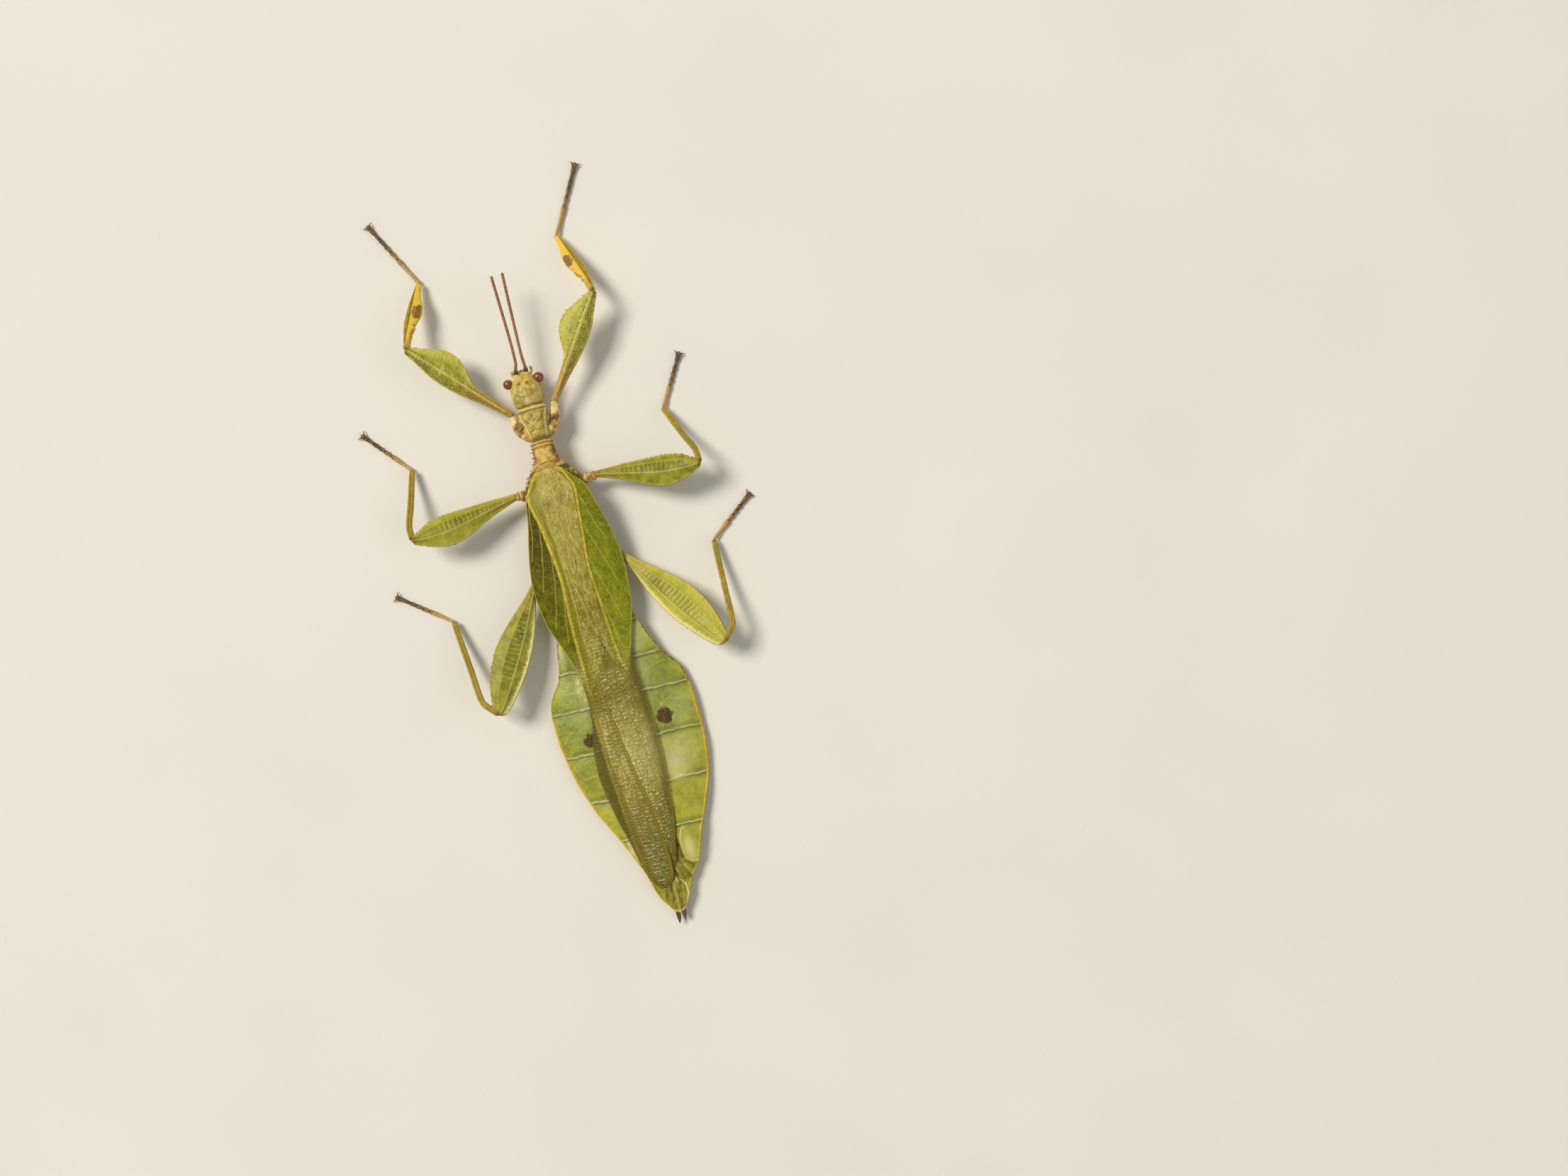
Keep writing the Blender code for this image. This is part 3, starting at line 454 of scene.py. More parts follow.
# Upper face
ridge, furrow, pillow = 0, 0, 0
for sign, borders in RIDGES.items():
    for border, after in zip(borders, borders[1:] + (65,)):
        line = border + 0.1 * lumps(place, 1.2, 3) + 0.006 * x * x * sign + 0.05 * lumps(place, 0.4, 4)
        ridge = ridge + (side == sign) * bell(station - line, RIDGE_WIDTH)
        # Painted shadow: a dark line just behind each ridge, in its groove.
        furrow = furrow + (side == sign) * bell(station - line - 0.2, 0.1)
        part = unit((station - line) / (after - border))
        pillow = pillow + (side == sign) * np.sin(math.pi * part)
outside = step(1.2, 2.6, abs(x)) * step(60, 58.5, station)
grit = 0.02 * lumps(place, 0.5, 5) + 0.01 * lumps(place, 0.2, 6) + 0.05 * lumps(place, 2.2, 17)
bead = 0.06 * bell(rim - 0.14, 0.1) * (1 + 0.35 * lumps(place, 0.3, 7))
round_off = 0.17 * drop(rim, 0.15)
veinlet = bell(nearest(x, y, LOBE_VEINS), 0.07)
flap_x, flap_y = np.array(FLAP_EDGE).T
inside = (x > np.interp(station, -flap_y, flap_x)) & (station < -flap_y[-1])
flap_gap = near(x, y, FLAP_EDGE)
flap = step(-0.14, 0.12, flap_gap * np.where(inside, 1, -1)) * step(55.2, 56.4, station)
flap_edge = bell(flap_gap - 0.04, 0.06)
# Painted shadow: a dark line just outside the raised lobe's edge, in the crease beneath it.
crease = bell(flap_gap - 0.12, 0.07) * (1 - flap)
crumple = step(0.2, 0.7, x) * step(56.0, 57.5, station) * step(62.4, 61.6, station) * (1 - flap)
pleat = lumps(np.stack([x + 0.35 * y, 0.25 * y], -1), 0.32, 11)
folds = blots(x, y, FOLDED_PATCHES)
plate_out = abs(x - curve(PLATE_MIDDLE, station)) / curve(PLATE_WIDTH, station)
plate = step(1.0, 0.82, plate_out) * step(61.2, 61.5, station)
plate_keel = bell(x - 0.08, 0.06) * plate
fold = 0.5 + 0.5 * np.cos(plate_out * 11 + 1.2 * lumps(place, 0.8, 19))
plate_rise = 0.1 + 0.14 * fold + 0.06 * lumps(place * (2.4, 1), 0.45, 20) - 0.15 * step(64.5, 65.3, station)
relief = (RIDGE_HEIGHT * ridge - 0.07 * furrow + 0.12 * pillow) * outside + grit + bead - round_off
relief = relief + 0.035 * veinlet + 0.22 * flap + 0.08 * flap_edge - 0.08 * crease + 0.07 * plate_keel
relief = relief + 0.16 * crumple * pleat + 0.1 * folds * lumps(place * (3, 1), 0.9, 12)
relief = relief + plate * plate_rise
height = back(x, station) + relief

# Lower face, with its plates down the middle
belly = curve(BELLY, station)
core = np.minimum(BELLY_WIDTH, edge / 2)
out = unit((abs(x) - core) / (edge - core))
lobe_low = np.maximum(back(edge, station) - LOBE_THICK, belly)
sternal = -0.06 * ridge + 0.05 * bell(out - 0.04, 0.03) + 0.04 * lumps(place, 0.5, 8) * step(0, 0.1, out)
under = belly + (lobe_low - belly) * out + sternal + round_off * step(0.5, 1, out)
z = np.where(top, height, np.clip(under, 0, height - 0.02))
ragged = 0.16 * lumps(place, 0.35, 9) + 0.08 * lumps(place, 0.16, 10)
spot = 0
for spot_x, spot_y, radius in EYESPOTS:
    spot = np.maximum(spot, step(0.1, -0.1, np.hypot(x - spot_x, y - spot_y) - radius + ragged))
# Painted shade: the lobes are darkened in strips beside the wings' edges, where the wings shade them.
inner = step(4.6, 3.4, abs(x))
front_white = step(35.0, 31.0, station) * np.where(side > 0, 0.6, step(4.3, 5.0, -x))
dark = 0.8 * inner * (side < 0) * step(38.5, 40, station) * step(53, 50, station)
dark = dark + 0.55 * inner * (side > 0) * step(34, 35.5, station) * step(42, 40, station)
dark = dark + blots(x, y, DARK_PATCHES)
rim_gap = rim - 0.12 + 0.06 * lumps(place, 0.5, 15) - 0.12 * step(38, 42, station) * step(60, 54, station)
marks = {
    "ridge": unit(1.1 * ridge * outside * (0.75 + 0.5 * lumps(place, 1.1, 14))) * top,
    "furrow": np.where(top, unit(furrow * outside), unit(ridge + 0.6 * bell(out - 0.04, 0.02))),
    "veinlet": veinlet * top,
    # Painted shade in the hollows on both sides of each ridge, between the pillowed rings.
    "hollow": unit(step(0.45, 0.1, pillow) * outside) * top,
    "rim": step(0.1, -0.06, rim_gap),
    "spot": spot * top,
    "tail": step(41, 56, station),
    "grey": step(46, 40, station) * step(0.4, 2.4, rim),
    "head_end": step(41.5, 37, station),
    # Pale front lobes and pale patches, with painted sheen in the bright patch on the right.
    "white": unit(front_white + blots(x, y, WHITE_PATCHES)) * top,
    "dark": unit(dark * (0.8 + 0.5 * lumps(place, 0.8, 16))) * top,
    "brown": top * unit(
        # 0.9 * crease is the painted shadow beside the raised lobe.
        crumple * (0.85 - 0.6 * pleat) * step(4.3, 2.8, x) + 0.9 * crease
        + plate * (0.45 + 0.4 * (1 - fold) + 0.3 * lumps(place, 0.3, 18))
        + 0.6 * blot(x, y, -1.9, -62.2, 0.8, 1.6)
    ),
    # The cream mark: a pale rim along the raised lobe's edge, a painted highlight on the lobe, painted glints
    # on the crests of the crumpled patch, the plate's pale keel, right rim and rear edge, and a painted
    # highlight at the ridge on the right at (4.3, -49.6).
    "cream": top * unit(
        0.85 * flap_edge + 0.95 * blot(x, y, 3.2, -58.2, 0.6, 1.5) * flap + 0.6 * plate_keel
        + plate * bell(plate_out - 0.86, 0.13) * (x > 0) + 0.7 * plate * step(64.8, 65.1, station)
        + 0.6 * crumple * step(0.35, 0.8, pleat) * step(2.6, 2.0, x)
        + 0.9 * blot(x, y, 4.3, -49.6, 0.9, 0.45)
    ),
    "folds": unit(folds) * top,
    "under": 1.0 - top,
}
rings = np.stack([x, y, z], -1)

skin = Finish("abdomen_skin", {"Specular IOR Level": 0.4})
mottle = skin.grain(1.8, 5)
fine = skin.grain(0.3, 4)
green = mottle.between(0.35, 0.65).mix(ink(122, 132, 22), ink(166, 170, 52))
green = (skin.mark("grey") * 0.7).mix(green, mottle.mix(ink(102, 120, 46), ink(150, 164, 84)))
green = (skin.mark("tail") * 0.6).mix(green, mottle.mix(ink(142, 138, 10), ink(208, 194, 54)))
green = (fine.between(0.4, 0.7) * 0.35).mix(green, ink(190, 190, 84))
green = (skin.grain(0.11, 2).between(0.52, 0.7) * 0.4).mix(green, ink(214, 214, 128))
# The dark mark: painted shade beside the wings, and darker patches of skin.
green = (skin.mark("dark") * 0.6).mix(green, fine.mix(ink(58, 68, 18), ink(104, 108, 38)))
# The white mark: pale skin, and painted sheen in the bright patch on the right.
green = (skin.mark("white") * (0.5 + 0.5 * fine)).mix(green, ink(212, 212, 152))
# Painted sheen and glints: thin pale streaks over the folded patches stand for light on their folds.
silver = skin.glints(0.24, (1.0, 0.14, 1.0), 0.1)
green = (skin.mark("folds") * (0.35 + 0.65 * silver)).mix(green, ink(228, 216, 152))
green = (skin.mark("brown") * 0.9).mix(green, fine.between(0.3, 0.7).mix(ink(78, 64, 2), ink(142, 122, 20)))
# On the upper face the furrow mark is a painted shadow just behind each ridge; below, it darkens the ridges
# and the edges of the plates.
green = (skin.mark("furrow") * 0.6).mix(green, ink(84, 92, 26))
green = (skin.mark("veinlet") * 0.4).mix(green, ink(196, 192, 84))
# Painted shade: the hollows between the pillowed rings are darker.
green = (skin.mark("hollow") * 0.45).mix(green, ink(88, 92, 14))
green = (skin.mark("ridge") * 0.95).mix(green, ink(236, 228, 164))
# Cream marks, among them painted highlights and glints.
green = skin.mark("cream").mix(green, ink(220, 214, 138))
rim_colour = skin.mark("head_end").mix(ink(208, 168, 2), ink(112, 60, 14))
rim_colour = (skin.grain(0.6).between(0.4, 0.6) * 0.8).mix(rim_colour, ink(214, 194, 30))
rim_colour = (skin.grain(0.25, 2).between(0.6, 0.7) * 0.6).mix(rim_colour, ink(120, 70, 14))
green = skin.mark("rim").mix(green, rim_colour)
blotch = skin.grain(0.35, 4).between(0.3, 0.7).mix(ink(46, 30, 4), ink(102, 70, 26))
green = (skin.mark("spot") * 0.95).mix(green, blotch)
green = (skin.mark("under") * 0.35).mix(green, ink(190, 190, 110))
skin.done(green, 0.3 + 0.25 * fine, skin.grain(0.14, 3) + 0.4 * (1 - skin.pits(0.25)), 0.022)
fit("abdomen_skin", skin, "abdomen_green", ["abdomen"], (rings, marks))

# Thorax
# Three knobbly rings of tan and olive cuticle join the head to the abdomen. The front ring is a
# small shield with a raised rim, the middle one starts as a narrow waist with two collars and
# spines on its flanks, and the rear one lies under the wings.
PROTHORAX_WIDTH = ((3.0, 1.55), (3.5, 1.7), (4, 1.62), (5.2, 1.32), (6.3, 1.12), (7.5, 1.0))
PROTHORAX_TOP = ((3.0, 4.1), (3.5, 4.12), (4.5, 4.2), (6.5, 4.22), (7.5, 3.9))
PROTHORAX_LOW = ((3.0, 2.2), (7.5, 2.1))
BOSSES = ((-0.72, -4.3), (0.52, -4.35))
CHEVRON = ((-0.6, -4.8), (-0.1, -5.3), (0.4, -4.8))
FURROWS = (
    ((-1.3, -4.3), (-0.9, -5.0), (-0.35, -5.0)), ((1.15, -4.4), (0.75, -5.1), (0.2, -5.0)),
    ((-0.75, -6.1), (-0.1, -5.9), (0.55, -6.1)),
)
FLANK_LOBES = (((1.4, -4.5, 2.7), (0.5, 1.0, 0.6)), ((1.3, -6.1, 2.75), (0.62, 0.95, 0.55)))
MESOTHORAX_WIDTH = (
    (7.2, 1.3), (8.2, 1.32), (9.2, 1.36), (10, 1.75), (11.1, 2.6), (12.2, 3.35), (12.9, 3.6), (14, 3.4),
    (17.1, 3.15),
)
MESOTHORAX_LOW = ((7.2, 2.1), (10, 1.9), (12.5, 1.4), (17.1, 1.2))
MESOTHORAX_TOP = ((7.2, 3.9), (10.4, 4.0), (12.5, 4.0), (17.1, 3.5))
COLLARS = ((7.48, 0.2), (7.88, 0.16))
SPINES = (
    (8.0, 0.32), (8.45, 0.3), (8.75, 0.18), (9.1, 0.4), (9.5, 0.3), (9.8, 0.42), (10.1, 0.2), (10.45, 0.36),
    (10.8, 0.22), (11.2, 0.4), (11.7, 0.24),
)
METATHORAX_WIDTH = ((17.0, 3.1), (20, 3.2), (22, 3.2), (24.4, 3.0))
METATHORAX_LOW = ((17.0, 1.2), (24.4, 1.1))


def trunk(stations, width, low, top, columns, rounding):
    """The rings of a rounded body part with rounded ends, and each point's way outwards."""
    half, bottom, height = (curve(keys, stations)[:, None] for keys in (width, low, top))
    ends = np.minimum(stations - stations[0], stations[-1] - stations)
    shrink = np.sqrt(1 - (1 - np.clip(ends / rounding, 0.02, 1)) ** 2)[:, None]
    angle = np.linspace(0, math.tau, columns, endpoint=False)
    out, up = np.cos(angle), np.sin(angle)
    full = (abs(out) ** 2.3 + abs(up) ** 2.3) ** (-1 / 2.3) * shrink
    middle = (bottom + height) / 2
    z = middle + (height - middle) * up * full
    rings = np.stack([half * out * full, -stations[:, None] + 0 * out, z], -1)
    return rings, np.stack([out, 0 * out, up], -1)


def cuticle(name, dark, light, size, marks, roughness=0.45, depth=0.02):
    """Hard insect skin: two mottled colours with painted marks over them, finely pitted."""
    skin = Finish(name, {"Specular IOR Level": 0.35})
    colour = skin.grain(size, 5).between(0.32, 0.68).mix(ink(*dark), ink(*light))
    fine = skin.grain(0.2, 3)
    for mark, shade in marks.items():
        strength = skin.mark(mark) * (0.7 + 0.5 * fine)
        colour = strength.mix(colour, ink(*shade))
    colour = (skin.grain(0.09, 2).between(0.55, 0.75) * 0.25).mix(colour, ink(232, 216, 160))
    relief = skin.grain(0.1, 2) + 0.5 * (1 - skin.pits(0.2))
    skin.done(colour, roughness + 0.2 * (fine - 0.5), relief, depth)
    return skin


def ball(centre, radii, columns=28, rows=18):
    """The rings of an egg with its radii along x, y and z."""
    turns = np.linspace(0, math.tau, columns, endpoint=False)
    turn, tilt = np.meshgrid(turns, np.linspace(-1.55, 1.55, rows))
    way = np.stack([np.cos(tilt) * np.cos(turn), np.cos(tilt) * np.sin(turn), np.sin(tilt)], -1)
    return np.array(centre) + way * np.array(radii)


stations = np.linspace(3.0, 7.5, 120)
rings, way = trunk(stations, PROTHORAX_WIDTH, PROTHORAX_LOW, PROTHORAX_TOP, 130, 0.14)
x, station = rings[..., 0], -rings[..., 1]
upper = step(0, 0.3, way[..., 2])
edge = curve(PROTHORAX_WIDTH, station)
collar = 0.14 * bell(station - 3.42, 0.1) + 0.06 * bell(station - 3.16, 0.07)
collar = collar - 0.09 * bell(station - 3.64, 0.08)
side_rim = bell(edge - abs(x) - 0.1, 0.1) * step(3.5, 3.8, station) * step(7.0, 6.7, station)
side_rim = side_rim * step(-0.3, 0.1, way[..., 2])
boss, furrow = 0, 0
for boss_x, boss_y in BOSSES:
    away = np.hypot((x - boss_x) / 1.0, station + boss_y)
    boss = boss + bell(away, 0.4)
    furrow = furrow + 0.7 * bell(away - 0.58, 0.07)
furrow = unit(furrow + bell(near(x, -station, FURROWS[0]), 0.06))
furrow = furrow + bell(near(x, -station, FURROWS[1]), 0.06)
furrow = unit(furrow + bell(near(x, -station, FURROWS[2]), 0.07))
chevron = bell(near(x, -station, CHEVRON), 0.07)
median = bell(x + 0.08, 0.045) * step(3.7, 3.9, station) * step(6.0, 5.6, station)
wrinkle = np.cos(station * 16 + 2 * lumps(np.stack([x, station], -1), 0.8, 21)) * step(6.0, 6.9, station)
relief = collar + 0.09 * side_rim + (0.05 * boss - 0.045 * furrow + 0.04 * chevron - 0.04 * median) * upper
relief = relief + 0.015 * wrinkle + 0.022 * lumps(rings, 0.32, 22) + 0.016 * lumps(rings, 0.14, 23)
marks = {
    "pale": unit(np.maximum(bell(station - 3.38, 0.14), side_rim) + (0.8 * chevron + 0.3 * boss) * upper),
    "dark": unit(
        furrow * upper * 0.6 + 0.7 * bell(station - 3.64, 0.06) + step(6.75, 7.0, station) * 0.7
        + 0.4 * median
    ),
    "brown": step(0.0, -0.6, way[..., 2]),
}
shield = cuticle(
    "shield", (148, 128, 46), (206, 184, 92), 0.7,
    {"tan": (204, 166, 88), "dark": (88, 74, 18), "brown": (156, 108, 40), "pale": (236, 216, 140)},
)
shells = [(rings + way * relief[..., None], marks)]
for side in (-1, 1):
    for centre, radii in FLANK_LOBES:
        lobe = ball((side * centre[0], centre[1], centre[2]), radii, 40, 28)
        lobe = lobe + 0.16 * lumps(lobe, 0.35, 29)[..., None] * (side, 0.6, 0.8)
        tone = lumps(lobe, 0.4, 30)
        shells.append((lobe, {"tan": 1.0, "brown": unit(0.3 - tone), "pale": unit(tone)}))
fit("prothorax_skin", shield, "thorax_tan", ["prothorax"], *shells)

stations = np.concatenate([np.linspace(7.2, 13.2, 190), np.linspace(13.3, 17.1, 36)])
rings, way = trunk(stations, MESOTHORAX_WIDTH, MESOTHORAX_LOW, MESOTHORAX_TOP, 140, 0.14)
x, station = rings[..., 0], -rings[..., 1]
upper = step(-0.2, 0.3, way[..., 2])
smile = station + 0.22 * (1 - (x / 1.2) ** 2)
hoop = sum(rise * bell(station + 0.06 * np.cos(2 * x) - place, 0.1) for place, rise in COLLARS)
hoop = hoop + 0.08 * bell(smile - 10.05, 0.07) * upper * step(1.5, 1.1, abs(x))
seams = 0.8 * bell(station - 7.68, 0.05) + bell(station - 8.12, 0.05)
seams = seams + bell(smile - 10.2, 0.05) * upper * step(1.5, 1.1, abs(x))
keel = bell(x, 0.1) * step(8.2, 8.5, station) * step(9.9, 9.6, station)
side_line = bell(abs(x) - 0.95 - 0.05 * np.sin(5 * station), 0.07)
side_line = side_line * step(8.1, 8.3, station) * step(10.2, 9.9, station)
rim_way = bell(way[..., 2] - 0.12, 0.3) * step(9.9, 10.6, station)
relief = hoop - 0.05 * seams + (0.04 * keel - 0.05 * side_line) * upper + 0.06 * rim_way
relief = relief + 0.055 * lumps(rings, 0.42, 24) + 0.03 * lumps(rings, 0.18, 25)
knob = lumps(rings, 0.42, 24)
marks = {
    "pale": unit(0.7 * step(0.03, 0.12, hoop) + 0.5 * keel * upper + 0.5 * step(0.1, 0.6, knob)),
    "dark": unit(
        0.75 * seams + 0.6 * side_line * upper
        + 0.8 * bell(abs(x) - 1.24, 0.12) * step(10.2, 9.6, station) * step(0.3, -0.3, knob)
    ),
    "green": upper * (
        1.2 * step(10.4, 10.9, station) * step(1.1, 1.6, abs(x)) * (1 - rim_way)
        + 0.35 * step(9.8, 10.4, station)
    ),
    "brown": unit(
        0.5 * step(0.0, -0.6, way[..., 2])
        + 0.9 * step(0.9, 1.15, abs(x)) * step(8.1, 8.4, station) * step(10.6, 10, station)
    ),
}
shells = [(rings + way * relief[..., None], marks)]


def trace(points, shares):
    """Places along the smooth line through points, with the ways along, across and up there."""
    points = np.array(points, float)
    keys = np.append(0, np.cumsum(np.linalg.norm(np.diff(points, axis=0), axis=1)))
    keys, length = keys / keys[-1], keys[-1]

    def at(share):
        return np.stack([curve(list(zip(keys, values)), share) for values in points.T], -1)

    along = at(np.minimum(shares + 0.01, 1)) - at(np.maximum(shares - 0.01, 0))
    along = along / np.linalg.norm(along, axis=-1, keepdims=True)
    across = np.cross([0, 0, 1], along)
    across = across / np.linalg.norm(across, axis=-1, keepdims=True)
    return at(shares), along, across, np.cross(along, across), length


def tube(points, radius, sides, rows):
    """The rings of a round tube, with its radius read by the share of its length."""
    shares = np.linspace(0, 1, rows)
    place, along, across, up, length = trace(points, shares)
    angle = np.linspace(0, math.tau, sides, endpoint=False)[:, None]
    way = across[:, None] * np.cos(angle) + up[:, None] * np.sin(angle)
    return place[:, None] + way * curve(radius, shares)[:, None, None]


for number, (station, length) in enumerate(SPINES):
    for side in (-1, 1):
        flank = float(curve(MESOTHORAX_WIDTH, station))
        length = length * (0.4 + 0.4 * float(scatter(np.array([number, side]), 28)))
        root = (side * (flank - 0.35), -station, 2.95)
        tip = (side * (flank + length), 0.12 - station, 3.0 + 0.16 * (number % 2))
        radius = 0.12 + 0.35 * length
        spine = tube((root, tip), ((0, radius), (0.4, 0.8 * radius), (1, 0.03)), 12, 12)
        shells.append((spine, {"brown": 0.6}))
waist = cuticle(
    "waist", (176, 134, 52), (220, 182, 88), 0.6,
    {"brown": (142, 90, 30), "green": (86, 82, 0), "dark": (102, 64, 18), "pale": (236, 208, 130)},
)
fit("mesothorax_skin", waist, "thorax_tan", ["mesothorax"], *shells)

stations = np.linspace(17.0, 24.4, 60)
rings, way = trunk(stations, METATHORAX_WIDTH, METATHORAX_LOW, BACK_TOP, 90, 0.14)
relief = 0.05 * lumps(rings, 0.7, 26) + 0.02 * lumps(rings, 0.25, 27)
fit("metathorax_skin", waist, "thorax_tan", ["metathorax"], (rings + way * relief[..., None], {"green": 0.5}))

# Head
# A blunt, pebbled capsule of olive cuticle with a yellow patch round three simple eyes between
# the feelers. Palps and the mouth lie below its front edge.
HEAD_WIDTH = ((-1.0, 0.6), (-0.6, 1.15), (0, 1.5), (1, 1.87), (2, 1.86), (2.8, 1.78), (3.2, 1.6))
HEAD_TOP = ((-1.0, 3.3), (-0.4, 3.9), (0.2, 4.2), (1.2, 4.5), (2.2, 4.45), (3.2, 4.1))
HEAD_LOW = ((-1.0, 2.5), (-0.4, 2.0), (0.5, 1.75), (2, 1.9), (3.2, 2.3))
OCELLI = ((-0.48, -0.36, 0.12), (0.5, -0.42, 0.12), (0.08, 0.26, 0.1))
EYES = ((-1.82, 0.08, 3.36, 0.6), (1.86, -0.05, 3.36, 0.64))
MOUTH = ((0, 0.3, 2.35), (0, 1.0, 2.15), (0, 1.45, 1.95))
PALPS = (
    ((0.6, 0.6, 2.1), (1.05, 1.05, 2.0), (1.2, 1.45, 2.3), (1.05, 1.6, 2.45)),
    ((0.25, 0.8, 1.95), (0.45, 1.2, 1.75), (0.4, 1.5, 1.8)),
)
FACE = (
    ((0, 0.93, 2.85), (0.62, 0.16, 0.3)), ((0, 1.12, 2.45), (0.5, 0.2, 0.34)),
    ((0, 1.25, 2.05), (0.34, 0.18, 0.24)),
)
JAWS = ((0.42, 1.08, 2.1), (0.22, 0.24, 0.36))

stations = -1.0 + 4.2 * (1 - np.cos(np.linspace(0, math.pi, 120))) / 2
rings, way = trunk(stations, HEAD_WIDTH, HEAD_LOW, HEAD_TOP, 150, 0.4)
x, station = rings[..., 0], -rings[..., 1]
upper = step(-0.1, 0.3, way[..., 2])
patch = step(0.9, 0.6, np.hypot((x - 0.04) / 1.05, station - 0.12) + 0.2 * lumps(rings, 0.4, 35)) * upper
median = bell(x + 0.05, 0.05) * step(0.5, 0.8, station) * step(2.6, 2.2, station) * upper
bump = bell(np.hypot(x + 0.1, station - 2.55), 0.22) * upper
around_eye = sum(
    bell(np.hypot(x - eye_x, -station - eye_y) - radius - 0.1, 0.08) for eye_x, eye_y, _, radius in EYES
)
arc = bell(np.hypot(x / 1.25, station - 1.0) - 1.05, 0.09) * step(1.2, 1.7, station) * upper
pebble = lumps(rings, 0.3, 31) * 0.03 + lumps(rings, 0.13, 32) * 0.022
relief = pebble * step(-0.4, 0.6, station) + 0.05 * bump + 0.03 * median + 0.05 * around_eye - 0.025 * arc
relief = relief + 0.05 * patch - 0.04 * bell(station - 2.95, 0.06)
tone = lumps(rings, 0.55, 33)
marks = {
    "yellow": unit(patch * (0.75 + 0.6 * tone)),
    "umber": upper * unit(
        0.8 * sum(bell(np.hypot(x - px, -station - py) - 0.08, 0.13) for px, py, _ in OCELLI[:2])
    ),
    "pale": unit(0.6 * median + 0.6 * bump + 0.4 * around_eye * upper + 0.45 * step(0.1, 0.7, tone)),
    "dark": unit(
        0.3 * arc + 0.6 * bell(station - 3.08, 0.08) + 0.35 * step(0.1, 0.7, lumps(rings, 0.35, 34))
    ),
    "grey": step(1.2, 2.8, station) * 0.7,
    "brown": 0.6 * step(0, -0.7, way[..., 2]),
}
shells = [(rings + way * relief[..., None], marks)]
shells.append((tube(MOUTH, ((0, 0.75), (0.6, 0.62), (0.9, 0.42), (1, 0.1)), 32, 20), {"brown": 0.7}))
shells += [(ball(centre, radii, 36, 24), {"pale": 0.5}) for centre, radii in FACE]
for side in (-1, 1):
    jaw, radii = JAWS
    shells.append((ball((side * jaw[0], jaw[1], jaw[2]), radii, 28, 20), {"brown": 1.0}))
    for palp, radius in zip(PALPS, (0.2, 0.14)):
        line = [(side * px, py, pz) for px, py, pz in palp]
        keys = (
            (0, radius), (0.3, radius), (0.34, 0.7 * radius), (0.4, radius), (0.64, radius),
            (0.68, 0.7 * radius), (0.74, radius), (0.93, 0.8 * radius), (1, 0.03),
        )
        shells.append((tube(line, keys, 18, 48), {"pale": 0.8}))
    cup = [(side * 0.62, 0.45, 3.2), (side * 0.63, 0.92, 3.22)]
    shells.append((tube(cup, ((0, 0.3), (0.7, 0.4), (0.9, 0.4), (1, 0.26)), 26, 14), {"pale": 0.6}))
capsule = cuticle(
    "head_capsule", (156, 142, 54), (208, 190, 100), 0.5,
    {
        "grey": (192, 164, 96), "yellow": (220, 184, 62), "dark": (114, 98, 36), "brown": (150, 100, 40),
        "umber": (128, 78, 24), "pale": (238, 220, 146),
    },
)
fit("head_skin", capsule, "head_green", ["head"], *shells)

amber = cuticle("ocellus_amber", (110, 70, 18), (158, 108, 36), 0.2, {}, 0.15, 0.002)
amber.shader.inputs["Coat Weight"].default_value = 0.6
shells = [(ball((px, py, float(curve(HEAD_TOP, -py)) + 0.03), [radius] * 3), {}) for px, py, radius in OCELLI]
fit("ocelli", amber, "head_green", [], *shells)

# Eyes
# Each is a glossy red-brown dome of many tiny lenses, set in the flank of the head beside the
# root of the feeler.
lens = Finish("compound_eye", {"Coat Weight": 0.7, "Coat Roughness": 0.08})
facet = lens.pits(0.055)
brown = lens.grain(0.35, 3).between(0.35, 0.65).mix(ink(104, 48, 16), ink(176, 104, 44))
lens.done((facet.between(0.3, 0.6) * 0.35).mix(brown, ink(64, 28, 10)), 0.2, 1 - facet, 0.006)
for name, (eye_x, eye_y, eye_z, radius) in zip(("eye_left", "eye_right"), EYES):
    fit(name + "_lens", lens, "eye_brown", [name], (ball((eye_x, eye_y, eye_z), [radius] * 3, 64, 40), {}))

# Feelers
# Each is a string of short brown joints on a thick, dark first one, which sits in a cup at the
# front of the head. The joints grow longer towards the blunt end.
FEELERS = {
    "antenna_left": (
        (-0.64, 0.85, 3.25), (-0.5, 1.5, 3.33), (-0.25, 2.3, 3.45), (-0.1, 5, 3.8), (0, 12.6, 4.7),
    ),
    "antenna_right": (
        (0.64, 0.85, 3.25), (0.67, 1.6, 3.33), (0.65, 2.5, 3.45), (0.83, 5.7, 3.8), (1.33, 12.6, 4.7),
    ),
}
FEELER_JOINTS = [0, 0.055, 0.085]
while FEELER_JOINTS[-1] < 1:
    FEELER_JOINTS.append(FEELER_JOINTS[-1] + 0.02 + 0.028 * FEELER_JOINTS[-1])

horn = cuticle(
    "feeler", (122, 70, 34), (176, 114, 68), 0.5, {"dark": (72, 40, 18), "pale": (206, 156, 104)}, 0.38,
)
shares = np.linspace(0, 1, 520)
joint = np.min([abs(shares - place) for place in FEELER_JOINTS], axis=0)
thick = curve(((0, 0.25), (0.05, 0.28), (0.06, 0.2), (0.3, 0.18), (1, 0.175)), shares)
neck = bell(joint, 0.0045)
radius = thick * (1 - 0.14 * neck) * np.sqrt(unit((1.0008 - shares) / 0.012))
keys = list(zip(shares, np.maximum(radius, 0.01)))
for name, line in FEELERS.items():
    rings = tube(line, keys, 20, len(shares))
    marks = {
        "dark": np.maximum(neck * 0.8, step(0.06, 0.05, shares))[:, None],
        "pale": (bell(joint - 0.008, 0.004) * 0.5)[:, None],
    }
    fit(name + "_joints", horn, "antenna_brown", [name], (rings, marks))

